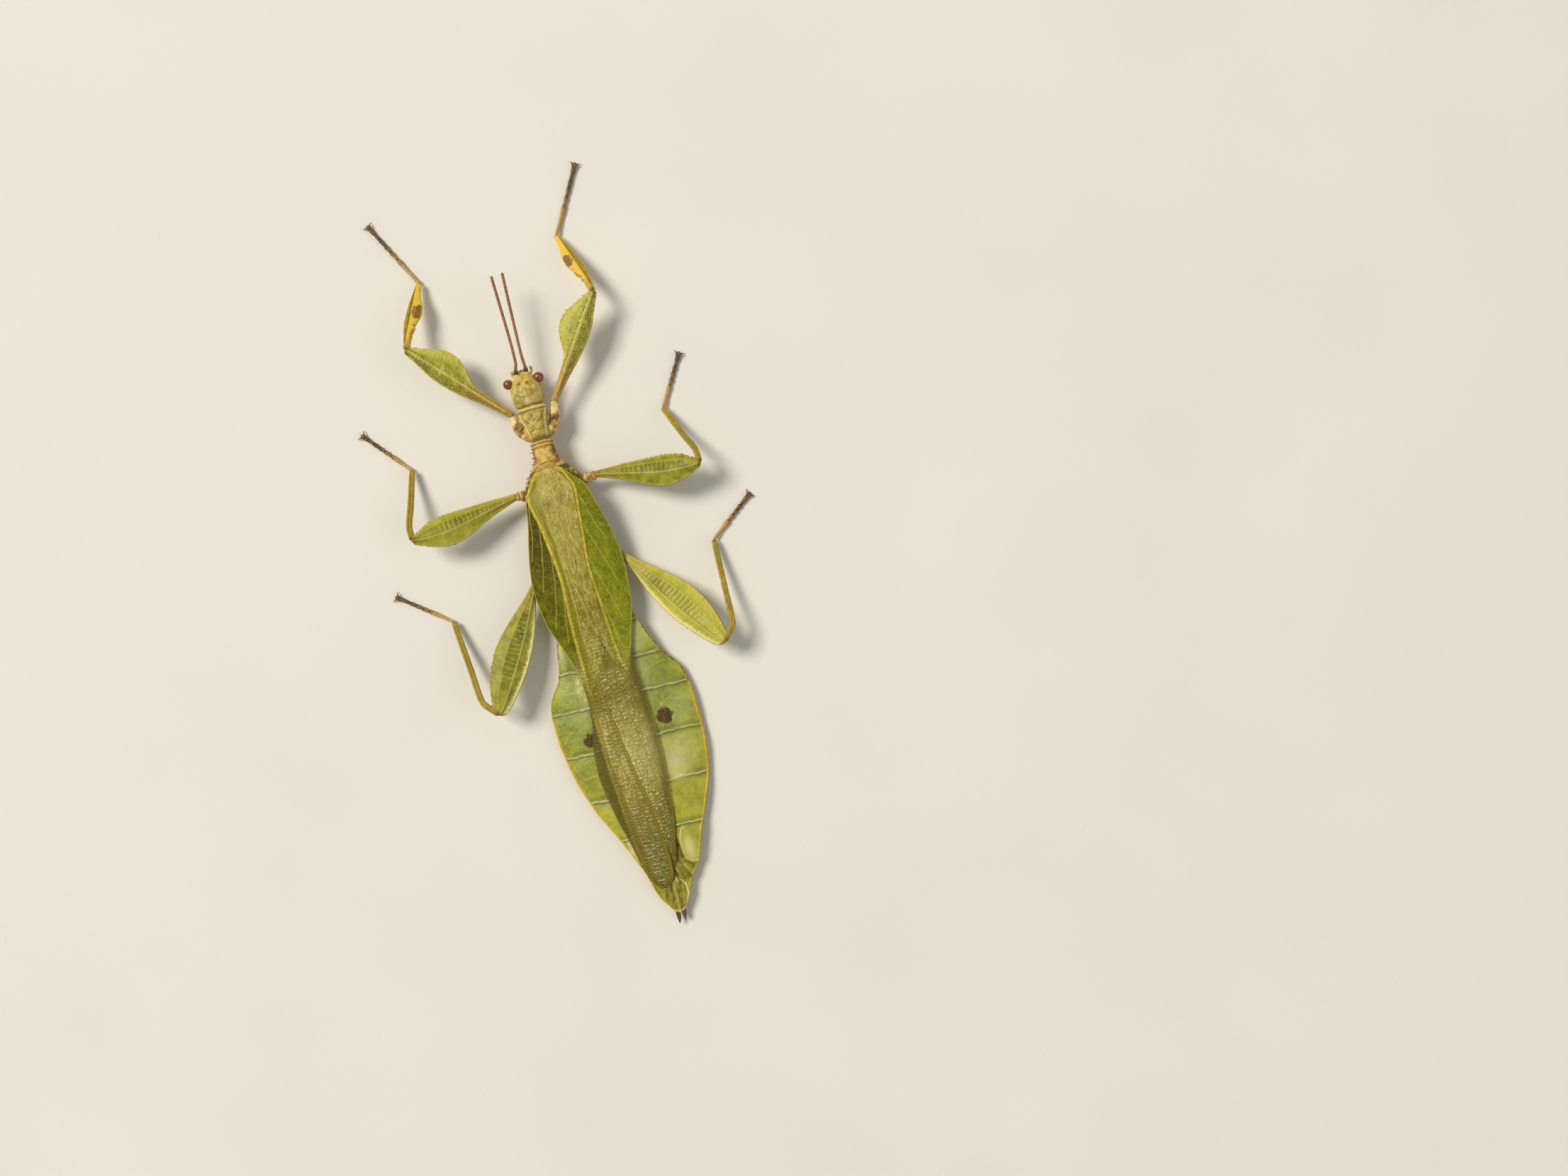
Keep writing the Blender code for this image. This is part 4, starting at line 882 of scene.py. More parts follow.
# Legs
# Each has a knobbly tan hip, a thigh with a leaf-like lobe to each side, a shin and a foot of
# five joints. The lobes have two ridges, fine wrinkles between them and teeth towards the knee.
LEGS = {
    ("front", "left"): (
        (1.45, -6.3, 2.75), (2.45, -3.5, 2.8), (11.95, 7.1, 4.4), (8.9, 15.0, 0.75), (12.75, 22.9, 0),
    ),
    ("front", "right"): (
        (1.45, -6.3, 2.75), (2.75, -3.3, 2.8), (10.9, 7.6, 4.4), (8.3, 15.9, 0.75), (12.6, 23.2, 0),
    ),
    ("middle", "left"): (
        (3.5, -12.9, 2.5), (4.7, -12.75, 2.7), (17.4, -14.4, 4.8), (15.95, -6.1, 0.75), (20.3, -0.75, 0),
    ),
    ("middle", "right"): (
        (3.5, -12.9, 2.5), (5.1, -12.8, 2.7), (17.25, -15.0, 4.8), (14.75, -7.3, 0.75), (18.15, -1.9, 0),
    ),
    ("hind", "left"): (
        (3.2, -21.6, 1.9), (5.3, -22.9, 1.8), (13.5, -36.7, 4.2), (16.25, -24.75, 0.75), (21.7, -20.3, 0),
    ),
    ("hind", "right"): (
        (3.2, -21.6, 1.9), (5.1, -22.5, 1.8), (14.15, -35.9, 4.2), (16.15, -24.0, 0.75), (21.4, -20.2, 0),
    ),
}
FRONT_HIP_MIDDLE = (2.3, -5.3, 2.7)
HIP_RADIUS = ((0, 0.55), (0.35, 0.66), (0.6, 0.5), (0.75, 0.56), (0.92, 0.42), (1, 0.2))
FEMUR_FRONT = {
    "front": (
        (0, 0.42), (0.28, 0.55), (0.4, 0.72), (0.47, 1.3), (0.54, 1.95), (0.61, 2.38), (0.67, 2.5),
        (0.74, 2.3), (0.84, 1.6), (0.92, 0.95), (1, 0.42),
    ),
    "middle": (
        (0, 0.4), (0.1, 0.55), (0.3, 0.9), (0.5, 1.15), (0.7, 1.32), (0.82, 1.15), (0.92, 0.65),
        (1, 0.4),
    ),
    "hind": (
        (0, 0.4), (0.11, 0.7), (0.34, 1.8), (0.46, 2.3), (0.56, 2.5), (0.65, 2.45), (0.8, 1.98),
        (0.95, 1.0), (1, 0.45),
    ),
}
FEMUR_REAR = {
    "front": ((0, 0.36), (0.2, 0.6), (0.4, 1.05), (0.6, 1.32), (0.7, 1.25), (0.82, 0.9), (1, 0.42)),
    "middle": (
        (0, 0.36), (0.12, 0.65), (0.33, 1.3), (0.5, 2.0), (0.66, 2.35), (0.83, 1.75), (0.92, 1.1),
        (1, 0.5),
    ),
    "hind": (
        (0, 0.36), (0.12, 0.5), (0.25, 1.0), (0.4, 1.5), (0.6, 1.77), (0.8, 1.5), (0.95, 1.0), (1, 0.5),
    ),
}
FEMUR_THICK = ((0, 0.8), (0.3, 1.0), (0.7, 1.1), (1, 0.95))
FEMUR_RIDGES = {"front": 0.2, "middle": 0.36, "hind": 0.36}
TIBIA_FRONT = {
    "front": (
        (0, 0.42), (0.2, 0.46), (0.38, 0.75), (0.55, 1.1), (0.67, 1.0), (0.78, 0.62), (0.9, 0.42),
        (1, 0.36),
    ),
    "middle": ((0, 0.4), (0.5, 0.44), (0.9, 0.42), (1, 0.36)),
    "hind": ((0, 0.45), (0.2, 0.42), (0.9, 0.42), (1, 0.36)),
}
TIBIA_REAR = {
    "front": ((0, 0.42), (0.15, 0.6), (0.37, 0.92), (0.6, 0.85), (0.8, 0.62), (1, 0.36)),
    "middle": ((0, 0.42), (0.5, 0.44), (0.9, 0.42), (1, 0.36)),
    "hind": ((0, 0.45), (0.2, 0.42), (0.9, 0.42), (1, 0.36)),
}
TIBIA_THICK = ((0, 0.95), (0.3, 0.8), (1, 0.72))
TIBIA_BOW = {"front": 0.05, "middle": 0.35, "hind": 1.2}
TARSUS_JOINTS = (0, 0.45, 0.58, 0.7, 0.81, 1)
CLAW = ((-0.15, 0.08, 0.34), (0.4, 0.3, 0.44), (0.66, 0.68, 0.12))


def blade(points, rows, columns):
    """The line of a flat limb, and for each of its points the share along and the way across.

    The way across runs from -1 at the rear edge to 1 at the front one over the limb, and back below.
    """
    shares = np.linspace(0, 1, rows)
    place, along, across, up, length = trace(points, shares)
    turn = np.append(np.linspace(-1, 1, columns), np.linspace(1, -1, columns // 3 + 2)[1:-1])
    share, turn = np.meshgrid(shares, np.sin(turn * math.pi / 2), indexing="ij")
    return place, across, up, length, share, turn, np.arange(turn.shape[1]) < columns


def rounded(gap, reach):
    """How full a form is at a gap from its end, which it reaches in a quarter circle."""
    return np.sqrt(1 - (1 - np.clip(gap / reach, 0.03, 1)) ** 2)


green_leg = cuticle(
    "thigh", (130, 134, 18), (176, 174, 48), 1.0,
    {
        "tan": (178, 136, 62), "fresh": (196, 192, 76), "dark": (76, 84, 8),
        "yellow": (214, 188, 58), "pale": (236, 226, 150),
        "brown": (130, 82, 22),
    },
)
yellow_leg = cuticle(
    "shin", (152, 120, 26), (200, 168, 56), 0.9,
    {
        "green": (136, 126, 16), "gold": (236, 200, 58), "brown": (114, 62, 18), "dark": (76, 42, 10),
        "pale": (236, 212, 112),
    },
)
hip_skin = cuticle(
    "hip", (198, 154, 78), (236, 204, 126), 0.4,
    {"brown": (140, 90, 34), "umber": (88, 50, 16), "pale": (244, 222, 156)},
)
foot_skin = cuticle(
    "foot", (134, 98, 46), (182, 144, 76), 0.5, {"dark": (76, 48, 20), "pale": (210, 180, 110)}, 0.4,
)

for number, ((pair, side_name), joints) in enumerate(LEGS.items()):
    side = -1 if side_name == "left" else 1
    name = pair + "_" + side_name
    seed = 50 + 10 * number
    root, hip, knee, ankle, toe = (np.array(joint, float) for joint in joints)
    sideways = np.array([side, 1, 1])

    # Hip
    middle = np.array(FRONT_HIP_MIDDLE) if pair == "front" else (root + hip) / 2
    rings = tube((root, middle, hip + (hip - middle) * 0.12), HIP_RADIUS, 44, 80) * sideways
    centre = rings.mean(axis=1, keepdims=True)
    rings = centre + (rings - centre) * (0.82 if pair == "front" else 1)
    way = (rings - centre) / np.linalg.norm(rings - centre, axis=-1, keepdims=True)
    share = np.linspace(0, 1, 80)[:, None]
    knob = lumps(rings, 0.45, seed)
    ruff = np.cos(share * (20 if pair == "front" else 26) + 2.5 * lumps(rings, 0.6, seed + 2))
    relief = 0.12 * knob + 0.07 * lumps(rings, 0.22, seed + 1) + 0.03 * ruff * step(0.98, 0.8, share)
    far = np.hypot((rings[..., 0] - side * 2.15) / 0.8, rings[..., 1] + 5.0)
    far = far + 9 * (rings[..., 2] < 2.6) + 9 * (pair != "front")
    pit = bell(far, 0.3)
    lip = bell(far - 0.5, 0.1)
    relief = relief - 0.22 * pit + 0.08 * lip
    darker = 0 if pair == "front" else 0.42
    # The front hips turn pale towards their thigh end.
    pale_thigh_end = 0.8 * step(0.55, 0.75, share) * (pair == "front")
    marks = {
        "pale": unit(0.7 * step(0.0, 0.6, knob) + 0.2 * ruff - darker + pale_thigh_end),
        "brown": unit(
            0.4 * step(-0.2, -0.7, knob) + 0.5 * lip + 0.45 * (pair == "front") * step(0.62, 0.45, share)
            + 0.3 * step(-0.4, -0.9, ruff) + darker
        ),
        "umber": unit(
            1.2 * bell(far, 0.42) + 0.3 * step(0.2, 0.6, -knob) * (pair == "front") * step(0.6, 0.4, share)
        ),
    }
    fit("hip_" + name, hip_skin, "thorax_tan", ["coxa_" + name], (rings + way * relief[..., None], marks))

    # Thigh
    start, end = hip - (knee - hip) * 0.012, knee + (knee - hip) * 0.012
    place, across, up, length, share, turn, top = blade((start, end), 280, 67)
    way = share * length
    front, rear = curve(FEMUR_FRONT[pair], share), curve(FEMUR_REAR[pair], share)
    if pair == "front":
        toothed = step(0.56, 0.64, share) * step(0.98, 0.9, share)
    else:
        toothed = step(0.45, 0.62, share) * step(1.0, 0.93, share)
    beat = way / 0.62 + 0.35 * lumps(np.stack([way, turn > 0], -1), 0.9, seed)
    luck = scatter(np.stack([np.floor(beat).astype(int)] * 2, -1), seed)
    saw = unit(1 - (beat % 1) / 0.55) * (0.5 + 0.5 * luck if pair != "front" else step(0.35, 0.9, luck))
    jag = 0.025 * lumps(np.stack([way, 5.0 * (turn > 0)], -1), 0.2, seed)
    biggest = {"front": (0.3, 0.03), "middle": (0.12, 0.08), "hind": (0.12, 0.12)}[pair]
    front = front + toothed * biggest[0] * saw + jag * step(0.1, 0.3, share)
    rear = rear + toothed * biggest[1] * saw + jag * step(0.1, 0.3, share)
    wide = np.where(turn > 0, front, rear)
    out = turn * wide
    to_edge = wide - abs(out)
    ends = rounded(np.minimum(way, length - way), 0.3)
    shelf = FEMUR_RIDGES[pair]
    high = curve(FEMUR_THICK, share) / 2
    lobe = unit((abs(turn) - shelf) / (1 - shelf))
    place_2d = np.stack([out, way], -1)
    pebble = lumps(place_2d, 0.24, seed + 3) + 0.6 * lumps(place_2d, 0.11, seed + 4)
    if pair == "front":
        crest = bell(out - 0.05, 0.09) * step(0.04, 0.15, share) * step(1, 0.92, share)
        groove = bell(out + 0.5 * rear, 0.07) * step(0.1, 0.25, share) * step(0.98, 0.9, share)
        field = 0 * share
        second = 0 * share
    else:
        crest = bell(out + 0.28 * rear, 0.06) * step(0.05, 0.2, share) * step(0.99, 0.93, share)
        second = bell(out - 0.45 * front, 0.06) * step(0.1, 0.3, share) * step(0.97, 0.88, share)
        groove = bell(out + 0.28 * rear - 0.14, 0.045) * step(0.1, 0.3, share) * step(0.97, 0.9, share)
        field = step(-0.28 * rear + 0.1, -0.28 * rear + 0.25, out)
        field = field * step(0.45 * front, 0.45 * front - 0.15, out)
        field = field * step(0.12, 0.3, share) * step(0.85, 0.65, share)
    rung = np.cos(way * math.tau / 0.56 + 1.5 * lumps(place_2d, 0.7, seed + 2))
    ladder = step(-0.75, -0.2, rung) * field
    thin = 0.1
    body = thin + (high - thin) * (1 - lobe) ** 1.4 - 0.06 * bell(out, 0.5 * wide) * ends
    body = body + 0.07 * crest + 0.04 * second - 0.05 * groove + 0.035 * rung * field - 0.03 * field
    body = body + (0.034 if pair == "front" else 0.022) * pebble + 0.03 * bell(to_edge - 0.1, 0.08)
    body = body + 0.03 * lumps(place_2d, 0.8, seed + 9)
    dot_row = scatter(np.stack([np.floor(way / 0.4).astype(int)] * 2, -1), seed) > 0.35
    dots = dot_row * bell((way / 0.4) % 1 - 0.5, 0.24) * bell(abs(out) - 0.3, 0.09) * (pair == "front")
    dots = dots * step(0.25, 0.4, share)
    round_off = (thin + 0.02) * drop(to_edge, 0.1)
    below = -(thin + (high * 0.85 - thin) * (1 - abs(turn)) ** 1.2) + round_off + 0.016 * pebble
    rise = np.where(top, body - round_off - 0.03 * dots, below) * ends
    rings = place[:, None] + across[:, None] * (out * ends)[..., None] + up[:, None] * rise[..., None]
    inner = turn < 0 if pair == "hind" else turn > 0
    # A darker blotch part way along the left hind thigh.
    thigh_blotch = 0 * share
    if name == "hind_left":
        thigh_blotch = step(0.1, 0.5, lumps(place_2d, 0.4, 49)) * bell(np.hypot(out / 0.5, (way - 6.0) / 1.6), 1)
    tone = lumps(place_2d, 1.4, seed + 6)
    # Painted light and shade: the first table makes listed legs lighter (positive) and darker (negative) than
    # the rest, and the second darkens listed legs further, as light falls on each leg.
    painted_light_and_shade = {"hind_right": 0.6, "hind_left": -0.3, "middle_right": -0.4}.get(name, 0.0)
    painted_shade = {"hind_left": 0.2, "middle_right": 0.2, "middle_left": 0.1}.get(name, 0.0)
    marks = {
        "tan": step(0.6, 0.2, share) if pair == "front" else 0.3 * step(0.5, 0.1, share),
        # The fresh mark carries each leg's painted light and shade, and the dark mark its further painted
        # shade.
        "fresh": unit(step(0.15, 0.7, lobe) * (0.35 if pair != "front" else 1.0 * inner) + 0.4 * tone + painted_light_and_shade)
        * (step(0.25, 0.5, share) if pair == "front" else 1),
        "dark": top * unit(
            painted_shade + 0.38 * ladder + 0.8 * thigh_blotch + 0.75 * dots
            + 0.5 * (pair == "front") * step(0.1, 0.6, lobe) * ~inner
        ),
        "yellow": unit(step(0.2, 0.08, to_edge) * 0.6 + 0.4 * second),
        "pale": unit(
            (0.6 if pair == "front" else 0.4) * crest * top
            + 0.25 * step(0.2, 0.9, pebble) * (pair == "front")
            + 0.95 * inner * (pair == "hind") * step(0.6, 0.2, to_edge + 0.1 * pebble)
            * step(0.1, 0.4, share),
        ),
        "brown": unit(
            (0.2 if pair == "front" else 0.5) * step(0.1, 0.02, to_edge)
            + (0.3 if pair == "front" else 0.7) * groove * top
            + 0.6 * toothed * saw * step(0.24, 0.04, to_edge) + 0.5 * dots
            + 0.7 * step(0.04, 0.0, share) + 0.7 * step(0.965, 0.99, share),
        ),
    }
    fit("thigh_" + name, green_leg, "thigh_green", ["femur_" + name], (rings * sideways, marks))

    # Shin
    bow = np.array([1, 0, 0]) * TIBIA_BOW[pair]
    line = (knee, knee + (ankle - knee) * 0.17 + bow, (knee + ankle) / 2 + bow * 0.6, ankle)
    place, across, up, length, share, turn, top = blade(line, 220, 43)
    way = share * length
    place_2d = np.stack([turn, way], -1)
    bristle = 0.018 * lumps(np.stack([way, 5.0 * (turn > 0)], -1), 0.2, seed + 5)
    ragged = 0.14 * lumps(np.stack([way, 9.0 * (turn > 0)], -1), 0.3, seed + 7)
    ragged = ragged * step(0.1, 0.25, share) * step(0.5, 0.4, share)
    slim = 0.92 if pair == "front" else 0.86
    front = curve(TIBIA_FRONT[pair], share) * slim + bristle + (ragged if pair == "front" else 0)
    rear = curve(TIBIA_REAR[pair], share) * slim + bristle
    wide = np.where(turn > 0, front, rear)
    out = turn * wide
    to_edge = wide - abs(out)
    high = curve(TIBIA_THICK, share) / 2
    ends = rounded(np.minimum(way, length - way), 0.25)
    thin = np.minimum(0.14, high)
    furrow = bell(out + (0.3 if pair == "front" else -0.02), 0.08)
    furrow = furrow * step(0.05, 0.12, share) * step(0.98, 0.9, share)
    pebble = lumps(np.stack([out, way], -1), 0.2, seed + 6)
    bulge = np.sqrt(unit(1 - turn**2))
    round_off = thin * drop(to_edge, 0.12)
    body = thin + (high - thin) * bulge - 0.09 * furrow + 0.022 * pebble - round_off
    below = -(thin + (high * 0.85 - thin) * bulge) + round_off
    rise = np.where(top, body, below) * ends
    rings = place[:, None] + across[:, None] * (out * ends)[..., None] + up[:, None] * rise[..., None]
    marks = {
        "pale": (
            unit(step(0.15, 0.04, to_edge) * 0.7 + 0.4 * bell(out - 0.16, 0.05))
            * (1 if pair == "front" else 0.45)
        ),
        "gold": 0.9 * step(0.02, 0.25, share) * step(-0.4, -0.1, out) if pair == "front" else 0,
        "brown": unit(
            0.8 * step(0.06, 0.0, share) + 0.6 * step(0.95, 1.0, share)
            + (0.45 if pair == "front" else 0.2) * furrow * top
        ),
        "dark": 0.3 * furrow * top * (pair == "front"),
        "green": (
            0.5 * step(-0.1, -0.4, out) if pair == "front"
            else 0.45 + 0.4 * step(-0.2, 0.6, lumps(place_2d, 2.5, seed + 7))
        ),
    }
    if pair == "front":
        centre, half_width, half_length = (0.5, 0.58, 0.85) if side_name == "left" else (0.55, 0.52, 0.8)
        frayed = 0.22 * lumps(np.stack([out, way], -1), 0.3, seed + 8)
        blotch = np.hypot((out - centre) / half_width, (share - 0.56) * length / half_length) + frayed
        marks["brown"] = np.maximum(marks["brown"], step(1.08, 0.88, blotch) * 0.9 * top)
        marks["dark"] = np.maximum(marks["dark"], 0.85 * bell(blotch - 1.0, 0.12) * top)
        frayed = bell(to_edge - 0.12, 0.14) * (turn > 0) * step(0.08, 0.15, share) * step(0.46, 0.36, share)
        frayed = frayed * step(-0.3, 0.2, lumps(np.stack([out, way], -1), 0.3, seed))
        marks["brown"] = np.maximum(marks["brown"], 0.85 * frayed)
    fit("shin_" + name, yellow_leg, "shin_yellow", ["tibia_" + name], (rings * sideways, marks))

    # Foot
    start = np.array([ankle[0], ankle[1], 0])
    shares = np.linspace(0, 1, 260)
    place, along, across, up, length = trace((start, toe), shares)
    into = np.zeros(len(shares))
    for joint_start, joint_end in zip(TARSUS_JOINTS, TARSUS_JOINTS[1:]):
        part = (shares - joint_start) / (joint_end - joint_start)
        into = np.where((part >= 0) & (part <= 1), part, into)
    seam = np.min([abs(shares - joint) for joint in TARSUS_JOINTS[1:-1]], axis=0) * length
    pad = step(0.35, 0.9, into)
    radius = ((0.2 + 0.075 * pad) * (1 - 0.26 * bell(seam, 0.07)))[:, None]
    lift = curve(((0, 0.42), (0.12, 0.22), (0.3, 0.02), (0.4, 0)), shares)
    lift = np.maximum(lift, 0.1 * (1 - pad))[:, None]
    angle = np.linspace(0, math.tau, 32, endpoint=False)
    ends = rounded(np.minimum(shares, 1.001 - shares) * length, 0.2)[:, None]
    spread = np.stack([place[:, :1] + 0 * angle, place[:, 1:2] + 0 * angle], -1)
    radius = radius + 0.02 * lumps(spread, 0.2, seed)
    rings = place[:, None] + across[:, None] * (np.cos(angle) * radius * ends)[..., None]
    rings[..., 2] += lift + radius * (1 + np.sin(angle) * ends)
    flank = abs(np.cos(angle))
    marks = {
        "dark": unit(
            step(0.42, 0.75, shares)[:, None] * (0.65 + 0.3 * flank) + 0.9 * bell(seam, 0.06)[:, None]
        ),
        "pale": (step(0.44, 0.3, shares) * 0.5)[:, None],
    }
    shells = [(rings * sideways, marks)]
    ahead = (toe - start) / length
    beside = np.cross([0, 0, 1], ahead)
    for hand in (-1, 1):
        line = [toe + ahead * a + beside * b * hand + np.array([0, 0, c]) for a, b, c in CLAW]
        shells.append((tube(line, ((0, 0.14), (0.5, 0.09), (1, 0.02)), 16, 24) * sideways, {"dark": 0.8}))
    pad_rings = ball((0, 0, 0), (0.26, 0.34, 0.24))
    turned = pad_rings[..., :1] * beside + pad_rings[..., 1:2] * ahead
    turned = turned + pad_rings[..., 2:] * np.array([0, 0, 1])
    turned = turned + toe + ahead * 0.33 + np.array([0, 0, 0.25])
    turned[..., 2] = np.maximum(turned[..., 2], 0.0)
    shells.append((turned * sideways, {"dark": 0.6}))
    fit("foot_" + name, foot_skin, "foot_brown", ["tarsus_" + name], *shells)

# Tail feelers
# Two short joints of dark cuticle, rough with stubble, stick out side by side behind the last
# ring and taper. The left one is a little longer and darker.
for name, side, tip, shade in (("cercus_left", -1, -66.65, 1.0), ("cercus_right", 1, -66.4, 0.7)):
    line = [(side * 0.34, -64.6, 1.0), (side * 0.36, -65.5, 1.0), (side * 0.38 - 0.1, tip, 0.9)]
    rings = tube(line, ((0, 0.25), (0.35, 0.29), (0.65, 0.24), (0.85, 0.13), (1, 0.02)), 24, 60)
    relief = 0.04 * lumps(rings, 0.2, 41) + 0.025 * lumps(rings, 0.08, 42)
    rings = rings + relief[..., None]
    fit(name + "_hairs", foot_skin, "abdomen_green", [name], (rings, {"dark": unit(shade + 6 * relief)}))

# Hind wings
# Thin clear membranes folded flat over the abdomen. Lengthwise veins part them into columns, and
# fine wrinkles cross each column like the rungs of a ladder. The left one lies over the right.
HIND_WINGS = {
    "left": {
        "inner": (
            (17.4, 0), (30, 0.8), (34, 1.3), (37, 1.3), (42.5, 0.85), (49, 0.05), (52.5, -0.5), (56, -0.75),
            (59, -0.8), (61.2, -0.5), (63.2, 0.1),
        ),
        "outer": (
            (17.4, 1.5), (19, 2.6), (24, 3.2), (38, 3.4), (41, 3.7), (44, 4.5), (47, 4.75), (50, 4.5),
            (53, 4.0), (56.5, 3.25), (59, 2.75), (61.2, 2.15), (62.6, 1.75), (63.2, 1.4),
        ),
        "veins": (
            ((24, 2.6), (38, 3.0), (44.5, 3.15), (49, 3.05), (55, 2.85), (59, 2.5), (63.2, 1.35)),
            ((24, 2.3), (38, 2.75), (44.5, 2.9), (49, 2.55), (55, 2.15), (59, 1.85), (63.2, 1.2)),
            ((24, 1.5), (37, 1.95), (44.5, 1.9), (50, 1.15), (56, 0.6), (63.2, 0.6)),
        ),
        "lift": 0.73,
    },
    "right": {
        "inner": ((17.4, -0.5), (37, -1.6), (49, -0.6), (62, -0.1)),
        "outer": (
            (17.4, 1.5), (19, 2.6), (24, 3.2), (37, 3.35), (45, 3.55), (50, 3.1), (53, 2.75),
            (55, 2.35), (57, 1.9), (59, 1.35), (62, 0.5),
        ),
        "veins": (
            ((24, 0.2), (37, -0.4), (44, 0.35), (50, 0.95), (56, 0.9), (62, 0.1)),
            ((24, 1.0), (37, 0.75), (45, 1.3), (50, 1.65), (56, 1.4), (62, 0.25)),
            ((24, 1.6), (37, 1.8), (45, 2.05), (50, 2.2), (56, 1.8), (62, 0.35)),
            ((24, 2.4), (37, 2.6), (45, 2.85), (50, 2.75), (56, 2.2), (62, 0.45)),
        ),
        "lift": 0.68,
    },
}
SPECKS = ((0.1, -49.0), (0.6, -52.6), (1.0, -56.6))


def streaky(finish):
    """The olive of folded membranes, with fine lengthwise streaks in it."""
    streaks = finish.grain(0.5, 4, 0.6, (2.6, 0.6, 1.0))
    olive = finish.grain(1.6, 4).between(0.3, 0.7).mix(ink(134, 124, 40), ink(170, 158, 70))
    olive = (streaks.between(0.45, 0.62) * 0.6).mix(olive, ink(110, 106, 26))
    return (streaks.between(0.45, 0.3) * 0.5).mix(olive, ink(196, 184, 104))


def sheet(shape, columns, rows, tip):
    """Places over a folded wing: its ways out, its stations, the ways to its edges and its upper side."""
    stations = np.linspace(shape["inner"][0][0], shape["inner"][-1][0], rows)
    inner, outer = (curve(shape[line], stations)[:, None] for line in ("inner", "outer"))
    turn = np.append(np.linspace(0, 1, columns), np.linspace(1, 0, 24)[1:-1])
    out = inner + (outer - inner) * turn
    rounding = tip * (2 * turn - 1) ** 2 * step(stations[-1] - 3, stations[-1], stations)[:, None]
    return out, stations[:, None] - rounding, out - inner, outer - out, np.arange(len(turn)) < columns


membrane = Finish("membrane", {"Specular IOR Level": 0.35})
clear = streaky(membrane)
clear = (membrane.mark("rear") * 0.65).mix(
    clear, membrane.grain(0.6, 3).mix(ink(86, 74, 8), ink(140, 126, 36)),
)
clear = (membrane.mark("tail") * 0.7).mix(
    clear, membrane.grain(0.4, 4).between(0.3, 0.7).mix(ink(78, 76, 14), ink(124, 120, 44)),
)
clear = (membrane.mark("light") * 0.5).mix(clear, ink(190, 184, 108))
clear = (membrane.mark("margin") * 0.8).mix(clear, ink(94, 86, 4))
clear = (membrane.mark("olive") * 0.85).mix(clear, ink(124, 108, 10))
# Painted glints: short bright lines on the crests of the wrinkles stand for light caught on them.
hooks = membrane.glints(0.3, (0.45, 1.0, 1.0), 0.03)
rows = membrane.dashes("turns", 0.36)
clear = (membrane.mark("silver") * 0.6).mix(clear, ink(206, 198, 128))
hooks = hooks * (0.12 + 0.7 * membrane.mark("tail") * membrane.grain(0.22, 1).between(0.5, 0.58))
clear = ((hooks + rows) * membrane.mark("bright")).mix(clear, ink(244, 238, 190))
clear = membrane.mark("vein").mix(clear, ink(150, 134, 34))
clear = membrane.mark("brown").mix(clear, ink(112, 92, 6))
membrane.done(
    clear, 0.22 + 0.25 * membrane.grain(0.4), membrane.grain(0.16, 3) + rows, 0.02,
    alpha=0.2 + 0.8 * membrane.mark("thick"),
)

